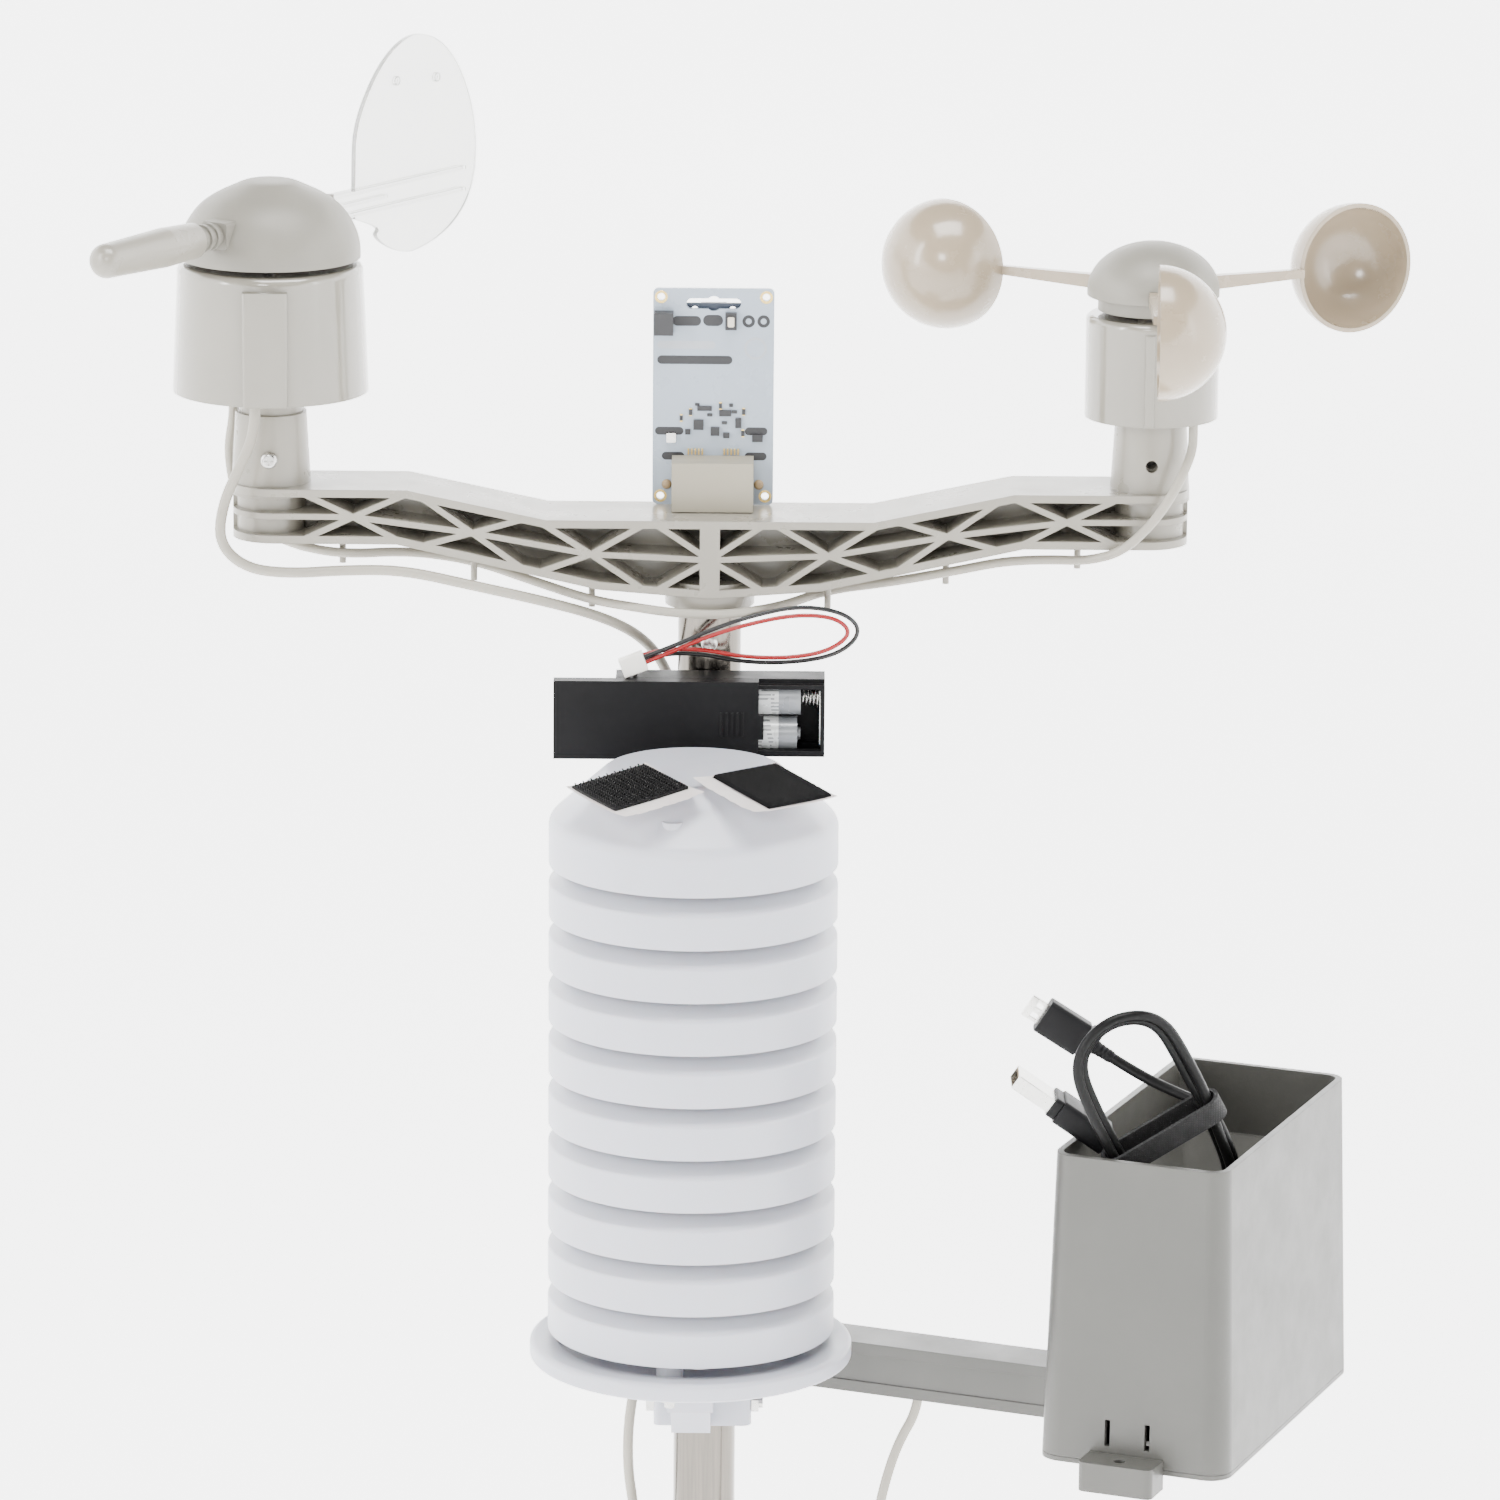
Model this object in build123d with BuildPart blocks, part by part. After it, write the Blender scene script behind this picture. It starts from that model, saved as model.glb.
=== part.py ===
from build123d import *
from math import acos, cos, degrees, pi, radians, sin, tan
import os

# Home weather station on a short pole. Millimetres, +Z up, X along the crossarm, -Y towards the
# louvred screen. The origin is the centre of the mast's lower end.

# ---------------------------------------------------------------- driving dimensions
MAST_R = 9.53            # three-quarter inch tube
MAST_WALL = 1.0
MAST_TOP = 391.0
FOOT_R = 8.9             # lower end, drawn in so that it plugs into the next tube
FOOT_WALL = 0.8
FOOT_LENGTH = 22.0
FOOT_TAPER = 3.0

BEAM_HALF = 143.5        # crossarm, half length
BEAM_DEPTH = 28.0
BEAM_PLATE = 2.4         # upper and lower plates
RIB = 1.8
POST_X = 132.0           # wind sensors' axes, either side of the mast
POST_TOP = 449.0
SPIGOT_R = 8.0
SPIGOT_FIT = 0.2
SCREW_Z = 436.0          # side screws that hold the spigots

VANE_BOTTOM = 455.5
VANE_TOP = 494.0
VANE_R = 29.4            # at the bottom of the housing
VANE_R_TOP = 27.8
DOME_R = 27.1
DOME_RIM = 495.8
DOME_HEIGHT = 23.4
BOOM_Z = 506.0
VANE_YAW = 56.0          # degrees, the way the tail points, from +X towards +Y

ANEMO_BOTTOM = 449.5
ANEMO_TOP = 480.5
ANEMO_R = 20.05
HUB_R = 19.8
HUB_RIM = 486.3
HUB_HEIGHT = 16.0
CUP_Z = 488.4
CUP_REACH = 71.5         # axis to cup centre
CUP_R = 19.8
CUP_WALL = 1.3
CUP_START = 28.6         # degrees, the first cup's arm

SHAFT_R = 2.0
SHAFT_FIT = 0.04
BEARING_R = 5.0

SCREEN_X = -4.0
SCREEN_Y = -59.0
SCREEN_R = 43.0
SCREEN_WALL = 1.5
LOUVRES = 9
PITCH = 16.0
CAP_EDGE = 325.5         # lower edge of the cap's wall
CAP_SHOULDER = 339.0
CAP_TOP = 354.1
CAP_FLAT_R = 26.0
BASE_R = 48.4
BASE_BOTTOM = 172.5
BASE_RIM = 178.0
ROD_RING = 34.0
ROD_R = 1.5

ARM_YAW = -22.0          # degrees, the side arm's direction
ARM_BOTTOM = 150.0
ARM_SIZE = 16.0
GAUGE_REACH = 160.0      # mast axis to gauge centre
GAUGE_TOP = 249.0
GAUGE_BOTTOM = 157.0
GAUGE_OPEN = (50.0, 110.0)
GAUGE_WALL = 2.0
GAUGE_FLARE = 5.0        # how much wider the bottom is than the top
FUNNEL_Z = 227.0
PIVOT_Z = 178.0
BUCKET_TILT = 18.0       # degrees to either side

BOARD_SIZE = (36.4, 66.2)
BOARD_X = 0.6
BOARD_BOTTOM = 419.0
BOARD_FRONT = 9.5
BOARD_THICK = 1.6

CELL_R = 5.25            # AAA cell
CELL_LENGTH = 44.5
BOX_X = (-27.9, 34.8)
BOX_BACK = -9.6
BOX_FRONT = -24.5
BOX_BOTTOM = 348.3
BOX_HEIGHT = 24.0
BOX_WALL = 1.1
COVER_OPEN = 18.6        # how far the battery cover stands slid to the left

WIND_LEAD = 3.2          # cord diameters (the wind lead is flat: its width)
ROTOR_LEAD = 2.8
RAIN_LEAD = 3.0
BATTERY_LEAD = 1.3
USB_LEAD = 3.2

os.makedirs("parts", exist_ok=True)


def save(builder, name):
    builder.part.label = name
    export_step(builder.part, f"parts/{name}.step")


def route_radii(points, share=0.45):
    """One tangent-arc radius for each inner point of a cord's route."""
    radii = []
    for before, here, after in zip(points, points[1:], points[2:]):
        run_in = Vector(*here) - Vector(*before)
        run_out = Vector(*after) - Vector(*here)
        half_turn = radians(run_in.get_angle(run_out)) / 2
        radii.append(share * min(run_in.length, run_out.length) / tan(half_turn))
    return radii


def cord(name, points, diameter):
    """A plain round tube along straight runs joined by tangent arcs."""
    radii = route_radii(points)
    with BuildPart() as tube:
        with BuildLine() as path:
            FilletPolyline(*points, radius=radii)
        start = path.line
        with BuildSketch(Plane(origin=start @ 0, z_dir=start % 0)):
            Circle(diameter / 2)
        sweep()
    length = path.wires()[0].length
    share = tube.part.volume / (pi * diameter**2 / 4 * length)
    print(f"{name}: {length:.0f} mm, least radius {min(radii):.1f}, volume share {share:.3f}")
    save(tube, name)


# ---------------------------------------------------------------- mast
with BuildPart() as mast:
    with BuildSketch(Plane.XZ):
        with BuildLine():
            Polyline(
                (FOOT_R - FOOT_WALL, 0), (FOOT_R, 0), (FOOT_R, FOOT_LENGTH),
                (MAST_R, FOOT_LENGTH + FOOT_TAPER), (MAST_R, MAST_TOP), (MAST_R - MAST_WALL, MAST_TOP),
                (MAST_R - MAST_WALL, FOOT_LENGTH + FOOT_TAPER), (FOOT_R - FOOT_WALL, FOOT_LENGTH),
                close=True)
        make_face()
    revolve(axis=Axis.Z)
    MAST_SCREW_Z = MAST_TOP - 10.5
    with Locations(Plane(origin=(0, -MAST_R, MAST_SCREW_Z), z_dir=(0, -1, 0))):
        Cylinder(1.6, 3 * MAST_WALL, mode=Mode.SUBTRACT)
save(mast, "mast")

# ---------------------------------------------------------------- crossarm
# Upper, lower and middle lines of the lattice beam, right half; the left half mirrors it.
TOP_LINE = [(0, 418.8), (49, 418.8), (91, 427.6), (BEAM_HALF, 427.6)]
LOW_LINE = [(0, 395.0), (33.4, 397.6), (94, 411.0), (BEAM_HALF, 411.0)]
CELL = 17.8              # half a lattice cell
CELLS = 8


def height_on(line, x):
    for (x0, z0), (x1, z1) in zip(line, line[1:]):
        if x0 <= x <= x1:
            return z0 + (z1 - z0) * (x - x0) / (x1 - x0)
    return line[-1][1]


def lattice_node(step, side):
    """Point of the zigzag: on a plate at odd steps, half way between the plates at even ones."""
    x = min(step * CELL, BEAM_HALF)
    upper = height_on(TOP_LINE, x)
    lower = height_on(LOW_LINE, x)
    if step % 2 == 0:
        return (x, (upper + lower) / 2)
    return (x, upper if side > 0 else lower)


MIDDLE_LINE = [lattice_node(step, 0) for step in range(0, CELLS, 2)]
BEAM_OUTLINE = TOP_LINE + LOW_LINE[::-1]

with BuildPart() as crossarm:
    with BuildSketch(Plane.XZ) as beam_side:
        for line in (TOP_LINE, LOW_LINE):
            with BuildLine():
                Polyline(*line)
            trace(line_width=2 * BEAM_PLATE)
        with BuildLine():
            Polyline(*MIDDLE_LINE, (BEAM_HALF, 419.3))
        trace(line_width=RIB)
        for step in range(CELLS - 1):
            for side in (1, -1):
                rising = side if step % 4 in (0, 3) else -side
                with BuildLine():
                    Line(lattice_node(step, rising), lattice_node(step + 1, rising))
                trace(line_width=RIB)
        with BuildSketch(mode=Mode.INTERSECT):
            with BuildLine():
                Polyline(*BEAM_OUTLINE, close=True)
            make_face()
        with Locations((1.5, 407)):
            Rectangle(3, 22)
        mirror(about=Plane.YZ)
    extrude(amount=BEAM_DEPTH / 2, both=True)
    with BuildSketch(Plane.XZ):
        with BuildLine():
            Polyline(*BEAM_OUTLINE, close=True)
        make_face()
        mirror(about=Plane.YZ)
    extrude(amount=0.9, both=True)
    with BuildSketch(Plane.XY.offset(380)):
        RectangleRounded(2 * BEAM_HALF, BEAM_DEPTH, 12.5)
    extrude(amount=60, mode=Mode.INTERSECT)
    # end sleeves and tapered posts
    for x in (-POST_X, POST_X):
        with BuildSketch(Plane(origin=(x, 0, 411))):
            Circle(10.4)
        extrude(amount=14)
        with BuildSketch(Plane(origin=(x, 0, 424))):
            Circle(12.1)
        with BuildSketch(Plane(origin=(x, 0, POST_TOP))):
            Circle(10.7)
        loft()
    for x in (-POST_X, POST_X):
        with Locations((x, 0, POST_TOP)):
            Hole(SPIGOT_R + SPIGOT_FIT, depth=34)
        with Locations(Plane(origin=(x, -11, SCREW_Z), z_dir=(0, -1, 0))):
            Cylinder(1.8, 12, mode=Mode.SUBTRACT)
    # boss that sits on the mast, and its spigot inside the tube
    with BuildSketch(Plane.XY.offset(MAST_TOP)):
        Circle(13.5)
    extrude(amount=8)
    with BuildSketch(Plane.XY.offset(MAST_TOP - 20)):
        Circle(MAST_R - MAST_WALL - 0.05)
    extrude(amount=20.5)
    with Locations(Plane(origin=(0, -7, MAST_SCREW_Z), z_dir=(0, -1, 0))):
        Cylinder(1.45, 6, mode=Mode.SUBTRACT)
    # pegs that the lead weaves round
    for x in (35.5, 71, 110.5):
        for peg_x in (-x, x):
            with BuildSketch(Plane(origin=(peg_x, -3, height_on(LOW_LINE, x) - 8))):
                Circle(1.0)
            extrude(amount=9)
save(crossarm, "crossarm")

# ---------------------------------------------------------------- wind vane, fixed pieces
with BuildPart() as vane_housing:
    with BuildSketch(Plane(origin=(-POST_X, 0, VANE_BOTTOM))):
        Circle(VANE_R)
    with BuildSketch(Plane(origin=(-POST_X, 0, VANE_TOP))):
        Circle(VANE_R_TOP)
    loft()
    fillet(vane_housing.edges().group_by(Axis.Z)[-1], 2.4)
    with BuildSketch(Plane(origin=(-POST_X, -26, VANE_BOTTOM))) as front_strip:
        RectangleRounded(13.4, 8.2, 1)
    extrude(amount=VANE_TOP - VANE_BOTTOM - 4)
    with BuildSketch(Plane(origin=(-POST_X, 0, VANE_BOTTOM))):
        Circle(VANE_R - 2)
    with BuildSketch(Plane(origin=(-POST_X, 0, VANE_TOP - 2.2))):
        Circle(VANE_R_TOP - 2)
    loft(mode=Mode.SUBTRACT)
    with Locations((-POST_X, 0, VANE_TOP)):
        Hole(BEARING_R, depth=4)
save(vane_housing, "vane_housing")

with BuildPart() as vane_base_cover:
    with BuildSketch(Plane(origin=(-POST_X, 0, VANE_BOTTOM))):
        Circle(VANE_R - 2.3)
    extrude(amount=2.4)
    with BuildSketch(Plane(origin=(-POST_X, 0, 420))):
        Circle(SPIGOT_R)
    extrude(amount=VANE_BOTTOM - 420)
    with BuildSketch(Plane(origin=(-POST_X, 0, POST_TOP))):
        Circle(9.6)
    extrude(amount=VANE_BOTTOM - POST_TOP)
    with Locations((-POST_X, 0, VANE_BOTTOM + 2.4)):
        with PolarLocations(18, 3):
            Cylinder(2.4, 16, align=(Align.CENTER, Align.CENTER, Align.MIN))
    with Locations(Plane(origin=(-POST_X, -SPIGOT_R, SCREW_Z), z_dir=(0, -1, 0))):
        Cylinder(1.45, 10, mode=Mode.SUBTRACT)
save(vane_base_cover, "vane_base_cover")

BOARD_Z = VANE_BOTTOM + 18.4
with BuildPart() as vane_board:
    with BuildSketch(Plane(origin=(-POST_X, 0, BOARD_Z))):
        Circle(22)
        with PolarLocations(18, 3):
            Circle(1.0, mode=Mode.SUBTRACT)
    extrude(amount=1.6)
    with Locations((-POST_X, 0, BOARD_Z + 1.6)):
        with PolarLocations(13.5, 8):
            Box(9, 2.2, 2.0, align=(Align.CENTER, Align.CENTER, Align.MIN))
save(vane_board, "vane_board")


def bearing(x, top):
    """Flanged plain bearing pressed into the top of a wind sensor's housing."""
    with BuildPart() as ring:
        with BuildSketch(Plane(origin=(x, 0, top - 6))):
            Circle(BEARING_R)
        extrude(amount=6.6)
        with Locations((x, 0, top + 0.6)):
            Hole(SHAFT_R + SHAFT_FIT, depth=6.6)
    return ring.part


with BuildPart() as rotor_bearings:
    add(bearing(-POST_X, VANE_TOP))
    add(bearing(POST_X, ANEMO_TOP))
save(rotor_bearings, "rotor_bearings")

# ---------------------------------------------------------------- wind vane, turning pieces
TAIL_DIR = Vector(cos(radians(VANE_YAW)), sin(radians(VANE_YAW)), 0)
VANE_AXIS = Vector(-POST_X, 0, 0)
BOOM_START = VANE_AXIS + Vector(0, 0, BOOM_Z)
BOOM_PLANE = Plane(origin=BOOM_START, x_dir=TAIL_DIR, z_dir=TAIL_DIR.cross(Vector(0, 0, 1)))
NECK_R = 3.4
NECK_END = 45.0
NOSE_START = 37.4
NOSE_END = 82.7
NOSE_R = 5.9

SHAFT_TOP = VANE_TOP + 12
DOME_WALL = 2.0
DOME_SKIRT = 1.6         # straight part of the dome's rim
DOME_BOSS_R = 4.5        # takes the shaft
DOME_TIP = 1.0           # small flat on top
INNER_DOME = (DOME_R - DOME_WALL, DOME_HEIGHT - DOME_SKIRT - DOME_WALL)
BOSS_SWEEP = degrees(acos(DOME_BOSS_R / INNER_DOME[0]))


def dome_curve(radius, height, angles):
    """Points of the dome's elliptical section, counted up from its rim."""
    return [(radius * cos(radians(t)), DOME_SKIRT + height * sin(radians(t))) for t in angles]


with BuildPart() as vane_shaft:
    with BuildSketch(Plane(origin=(-POST_X, 0, SHAFT_TOP - 28))):
        Circle(SHAFT_R)
    extrude(amount=28)
save(vane_shaft, "vane_shaft")

with BuildPart() as vane_magnet:
    with BuildSketch(Plane(origin=(-POST_X, 0, BOARD_Z + 4.5))):
        Circle(4)
        with Locations((8, 0)):
            RectangleRounded(16, 5, 1)
        Circle(SHAFT_R, mode=Mode.SUBTRACT)
    extrude(amount=3)
save(vane_magnet, "vane_magnet")

with BuildPart() as vane_tail:
    # boom with two edge ribs, and the egg-shaped fin, one clear moulding
    with BuildSketch(BOOM_PLANE) as fin:
        with BuildLine():
            lead = Line((41.5, 3), (41.8, 15))
            Spline((41.8, 15), (47.5, 31), (58, 42), (72, 47.4), (86, 43.5), (97, 32),
                   (103.5, 14), (101, -4), (90, -14), (76, -18.4), (62, -17.4),
                   (52.5, -11), (46.5, -6.6), tangents=((0.02, 1), (-1, 0.35)))
            Line((46.5, -6.6), (41.5, -5))
            Line((41.5, -5), lead @ 0)
        make_face()
    extrude(amount=0.8, both=True)
    with BuildSketch(BOOM_PLANE):
        with Locations((60.5, 0)):
            Rectangle(73, 7.4)
    extrude(amount=0.9, both=True)
    for height in (3.3, -3.3):
        with BuildSketch(BOOM_PLANE):
            with Locations((60.5, height)):
                Rectangle(73, 1.2)
        extrude(amount=2.0, both=True)
    with BuildSketch(BOOM_PLANE):
        with Locations((42, 0)):
            Rectangle(30, 1.0)
    extrude(amount=1.6, both=True)
save(vane_tail, "vane_tail")

NOSE_PLANE = Plane(origin=VANE_AXIS + Vector(0, 0, BOOM_Z), z_dir=TAIL_DIR * -1)
DOME_PLANE = Plane(origin=(-POST_X, 0, DOME_RIM), x_dir=(1, 0, 0), z_dir=(0, -1, 0))

with BuildPart() as vane_dome:
    with BuildSketch(DOME_PLANE):
        with BuildLine():
            Line((INNER_DOME[0], 0), (DOME_R, 0))
            Line((DOME_R, 0), (DOME_R, DOME_SKIRT))
            Spline(*dome_curve(DOME_R, DOME_HEIGHT - DOME_SKIRT, (0, 22, 45, 68)),
                   (DOME_TIP, DOME_HEIGHT), tangents=((0, 1), (-1, 0)))
            Line((DOME_TIP, DOME_HEIGHT), (0, DOME_HEIGHT))
            Line((0, DOME_HEIGHT), (0, 4))
            Line((0, 4), (DOME_BOSS_R, 4))
            inside = Spline(*dome_curve(*INNER_DOME, (0, 22, 45, 65, BOSS_SWEEP)),
                            tangents=((0, 1), (-1, 0.15)))
            Line((DOME_BOSS_R, 4), inside @ 1)
            Line((INNER_DOME[0], DOME_SKIRT), (INNER_DOME[0], 0))
        make_face()
    revolve(axis=Axis((-POST_X, 0, 0), (0, 0, 1)))
    # socket for the tail, and the flange and ringed neck that carry the nose
    with BuildSketch(BOOM_PLANE):
        with Locations((24.5, 0)):
            Rectangle(5, 10)
    extrude(amount=3.6, both=True)
    with BuildSketch(NOSE_PLANE.offset(20)):
        RectangleRounded(9, 8, 1)
    extrude(amount=7)
    with BuildSketch(NOSE_PLANE.offset(22)):
        Circle(NECK_R)
    extrude(amount=NECK_END - 22)
    for ring in (29, 32, 35):
        with BuildSketch(NOSE_PLANE.offset(ring)):
            Circle(NECK_R + 0.7)
        extrude(amount=1.2)
    add(vane_tail.part, mode=Mode.SUBTRACT)
    with BuildSketch(Plane(origin=(-POST_X, 0, DOME_RIM))):
        Circle(SHAFT_R)
    extrude(amount=SHAFT_TOP - DOME_RIM, mode=Mode.SUBTRACT)
save(vane_dome, "vane_dome")

with BuildPart() as vane_nose:
    with BuildSketch(NOSE_PLANE.offset(NOSE_START)):
        Circle(5.3)
    with BuildSketch(NOSE_PLANE.offset(NOSE_START + 14)):
        Circle(NOSE_R)
    with BuildSketch(NOSE_PLANE.offset(NOSE_END)):
        Circle(5.0)
    loft(ruled=True)
    tip = vane_nose.edges().filter_by(GeomType.CIRCLE).sort_by(lambda e: e.center().X)[0]
    fillet(tip, 4.6)
    with BuildSketch(NOSE_PLANE.offset(NOSE_START - 1)):
        Circle(NECK_R)
    extrude(amount=NECK_END - NOSE_START + 1, mode=Mode.SUBTRACT)
save(vane_nose, "vane_nose")

# ---------------------------------------------------------------- anemometer, fixed pieces
with BuildPart() as anemometer_housing:
    with BuildSketch(Plane(origin=(POST_X, 0, ANEMO_BOTTOM))):
        Circle(ANEMO_R)
    extrude(amount=ANEMO_TOP - ANEMO_BOTTOM)
    fillet(anemometer_housing.edges().group_by(Axis.Z)[-1], 1.8)
    with BuildSketch(Plane(origin=(POST_X - 1.5, -ANEMO_R + 0.5, ANEMO_BOTTOM))):
        RectangleRounded(3, 2, 0.6)
    extrude(amount=ANEMO_TOP - ANEMO_BOTTOM - 3)
    with BuildSketch(Plane(origin=(POST_X, 0, ANEMO_BOTTOM))):
        Circle(ANEMO_R - 2)
    extrude(amount=ANEMO_TOP - ANEMO_BOTTOM - 2.2, mode=Mode.SUBTRACT)
    with Locations((POST_X, 0, ANEMO_TOP)):
        Hole(BEARING_R, depth=4)
save(anemometer_housing, "anemometer_housing")

with BuildPart() as anemometer_base_cover:
    with BuildSketch(Plane(origin=(POST_X, 0, ANEMO_BOTTOM))):
        Circle(ANEMO_R - 2.3)
    extrude(amount=2.4)
    with BuildSketch(Plane(origin=(POST_X, 0, 420))):
        Circle(SPIGOT_R)
    extrude(amount=ANEMO_BOTTOM - 420)
    with Locations((POST_X, 0, ANEMO_BOTTOM + 2.4)):
        with PolarLocations(13, 3):
            Cylinder(2.0, 7, align=(Align.CENTER, Align.CENTER, Align.MIN))
    with Locations(Plane(origin=(POST_X, -SPIGOT_R, SCREW_Z), z_dir=(0, -1, 0))):
        Cylinder(1.45, 10, mode=Mode.SUBTRACT)
save(anemometer_base_cover, "anemometer_base_cover")

with BuildPart() as anemometer_board:
    with BuildSketch(Plane(origin=(POST_X, 0, ANEMO_BOTTOM + 9.4))):
        Circle(16)
    extrude(amount=1.6)
    with Locations((POST_X, 9, ANEMO_BOTTOM + 11)):
        Box(12, 2.2, 2.0, align=(Align.CENTER, Align.CENTER, Align.MIN))
save(anemometer_board, "anemometer_board")

# ---------------------------------------------------------------- anemometer, turning pieces
with BuildPart() as anemometer_shaft:
    with BuildSketch(Plane(origin=(POST_X, 0, ANEMO_TOP - 15))):
        Circle(SHAFT_R)
    extrude(amount=28)
save(anemometer_shaft, "anemometer_shaft")

with BuildPart() as anemometer_magnet:
    with BuildSketch(Plane(origin=(POST_X, 0, ANEMO_BOTTOM + 16))):
        Circle(9.5)
        Circle(SHAFT_R, mode=Mode.SUBTRACT)
    extrude(amount=3)
save(anemometer_magnet, "anemometer_magnet")

with BuildPart() as one_cup:
    with Locations((CUP_REACH, 0, 0)):
        Sphere(CUP_R)
        Sphere(CUP_R - CUP_WALL, mode=Mode.SUBTRACT)
    split(bisect_by=Plane.XZ, keep=Keep.BOTTOM)
    with BuildSketch(Plane.YZ.offset(14)):
        Rectangle(3.6, 4.4)
    with BuildSketch(Plane.YZ.offset(CUP_REACH - CUP_R + 1.0)):
        Rectangle(2.2, 2.6)
    loft()

with BuildPart() as anemometer_cups:
    with Locations((POST_X, 0, CUP_Z)):
        with PolarLocations(0, 3, start_angle=CUP_START):
            add(one_cup.part)
save(anemometer_cups, "anemometer_cups")

with BuildPart() as anemometer_hub:
    with BuildSketch(Plane(origin=(POST_X, 0, HUB_RIM), x_dir=(1, 0, 0), z_dir=(0, -1, 0))):
        with BuildLine():
            Line((0, -4.4), (16.5, -4.4))
            Line((16.5, -4.4), (16.5, 0))
            Line((16.5, 0), (HUB_R, 0))
            Line((HUB_R, 0), (HUB_R, 1.4))
            EllipticalCenterArc((0, 1.4), HUB_R, HUB_HEIGHT - 1.4, arc_size=90)
            Line((0, HUB_HEIGHT), (0, -4.4))
        make_face()
        with BuildLine():
            Line((4.5, -4.4), (14.5, -4.4))
            Line((14.5, -4.4), (14.5, -1))
            Line((14.5, -1), (9, 9))
            Line((9, 9), (4.5, 9))
            Line((4.5, 9), (4.5, -4.4))
        make_face(mode=Mode.SUBTRACT)
    revolve(axis=Axis((POST_X, 0, 0), (0, 0, 1)))
    add(anemometer_cups.part, mode=Mode.SUBTRACT)
    add(anemometer_shaft.part, mode=Mode.SUBTRACT)
save(anemometer_hub, "anemometer_hub")

# ---------------------------------------------------------------- louvred screen
SCREEN_AXIS = Axis((SCREEN_X, SCREEN_Y, 0), (0, 0, 1))
CONE_SLOPE = 0.84
INNER_R = 29.0
WALL_HEIGHT = 10.2
BASE_EDGE = CAP_EDGE - LOUVRES * PITCH


def cone_height(radius):
    """Height of a louvre's sloping web above its lower edge, on the upper face."""
    return WALL_HEIGHT + (SCREEN_R - radius) * CONE_SLOPE


def screen_plane(height):
    return Plane(origin=(SCREEN_X, SCREEN_Y, height))


def section_plane(height):
    return Plane(origin=(SCREEN_X, SCREEN_Y, height), x_dir=(1, 0, 0), z_dir=(0, -1, 0))


def louvre(edge):
    """Ring with a vertical outer wall, a web sloping up and inwards, and three spacer posts."""
    with BuildPart() as ring:
        with BuildSketch(section_plane(edge)):
            with BuildLine():
                Polyline(
                    (SCREEN_R, 0), (SCREEN_R, WALL_HEIGHT), (INNER_R, cone_height(INNER_R)),
                    (INNER_R, cone_height(INNER_R) - 2.0), (SCREEN_R - SCREEN_WALL, WALL_HEIGHT - 0.9),
                    (SCREEN_R - SCREEN_WALL, 0), close=True)
            make_face()
        revolve(axis=SCREEN_AXIS)
        shoulder = edge + WALL_HEIGHT
        fillet(ring.edges().filter_by_position(Axis.Z, shoulder - 0.1, shoulder + 0.1), 0.9)
        post_foot = cone_height(ROD_RING) - 1.6
        post_top = PITCH + cone_height(ROD_RING + 3) - 2.6
        with BuildSketch(screen_plane(edge + post_foot)):
            with PolarLocations(ROD_RING, 3, start_angle=-100):
                Circle(3.0)
        extrude(amount=post_top - post_foot)
        with BuildSketch(screen_plane(edge)):
            with PolarLocations(ROD_RING, 3, start_angle=-100):
                Circle(ROD_R + 0.1)
        extrude(amount=2 * PITCH + 4, mode=Mode.SUBTRACT)
    return ring.part


with BuildPart() as screen_louvres:
    for number in range(1, LOUVRES + 1):
        add(louvre(CAP_EDGE - number * PITCH))
save(screen_louvres, "screen_louvres")

BOSS_FOOT = CAP_EDGE + 12.8
with BuildPart() as screen_cap:
    with BuildSketch(section_plane(0)):
        with BuildLine():
            Polyline(
                (0, CAP_TOP), (CAP_FLAT_R, CAP_TOP), (SCREEN_R, CAP_SHOULDER), (SCREEN_R, CAP_EDGE),
                (SCREEN_R - SCREEN_WALL, CAP_EDGE), (SCREEN_R - SCREEN_WALL, CAP_SHOULDER - 0.9),
                (CAP_FLAT_R - 0.7, CAP_TOP - 1.8), (0, CAP_TOP - 1.8), close=True)
        make_face()
    revolve(axis=SCREEN_AXIS)
    shoulder_edge = screen_cap.edges().filter_by(GeomType.CIRCLE).filter_by_position(
        Axis.Z, CAP_SHOULDER - 0.1, CAP_SHOULDER + 0.1)
    fillet(shoulder_edge, 5)
    crown_edge = screen_cap.edges().filter_by(GeomType.CIRCLE).filter_by_position(
        Axis.Z, CAP_TOP - 0.1, CAP_TOP + 0.1)
    fillet(crown_edge, 3)
    # bosses that take the tie rods
    with BuildSketch(screen_plane(BOSS_FOOT)):
        with PolarLocations(ROD_RING, 3, start_angle=-100):
            Circle(3.2)
    extrude(amount=8)
    with BuildSketch(screen_plane(BOSS_FOOT - 1)):
        with PolarLocations(ROD_RING, 3, start_angle=-100):
            Circle(ROD_R + 0.1)
    extrude(amount=6, mode=Mode.SUBTRACT)
save(screen_cap, "screen_cap")

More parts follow.
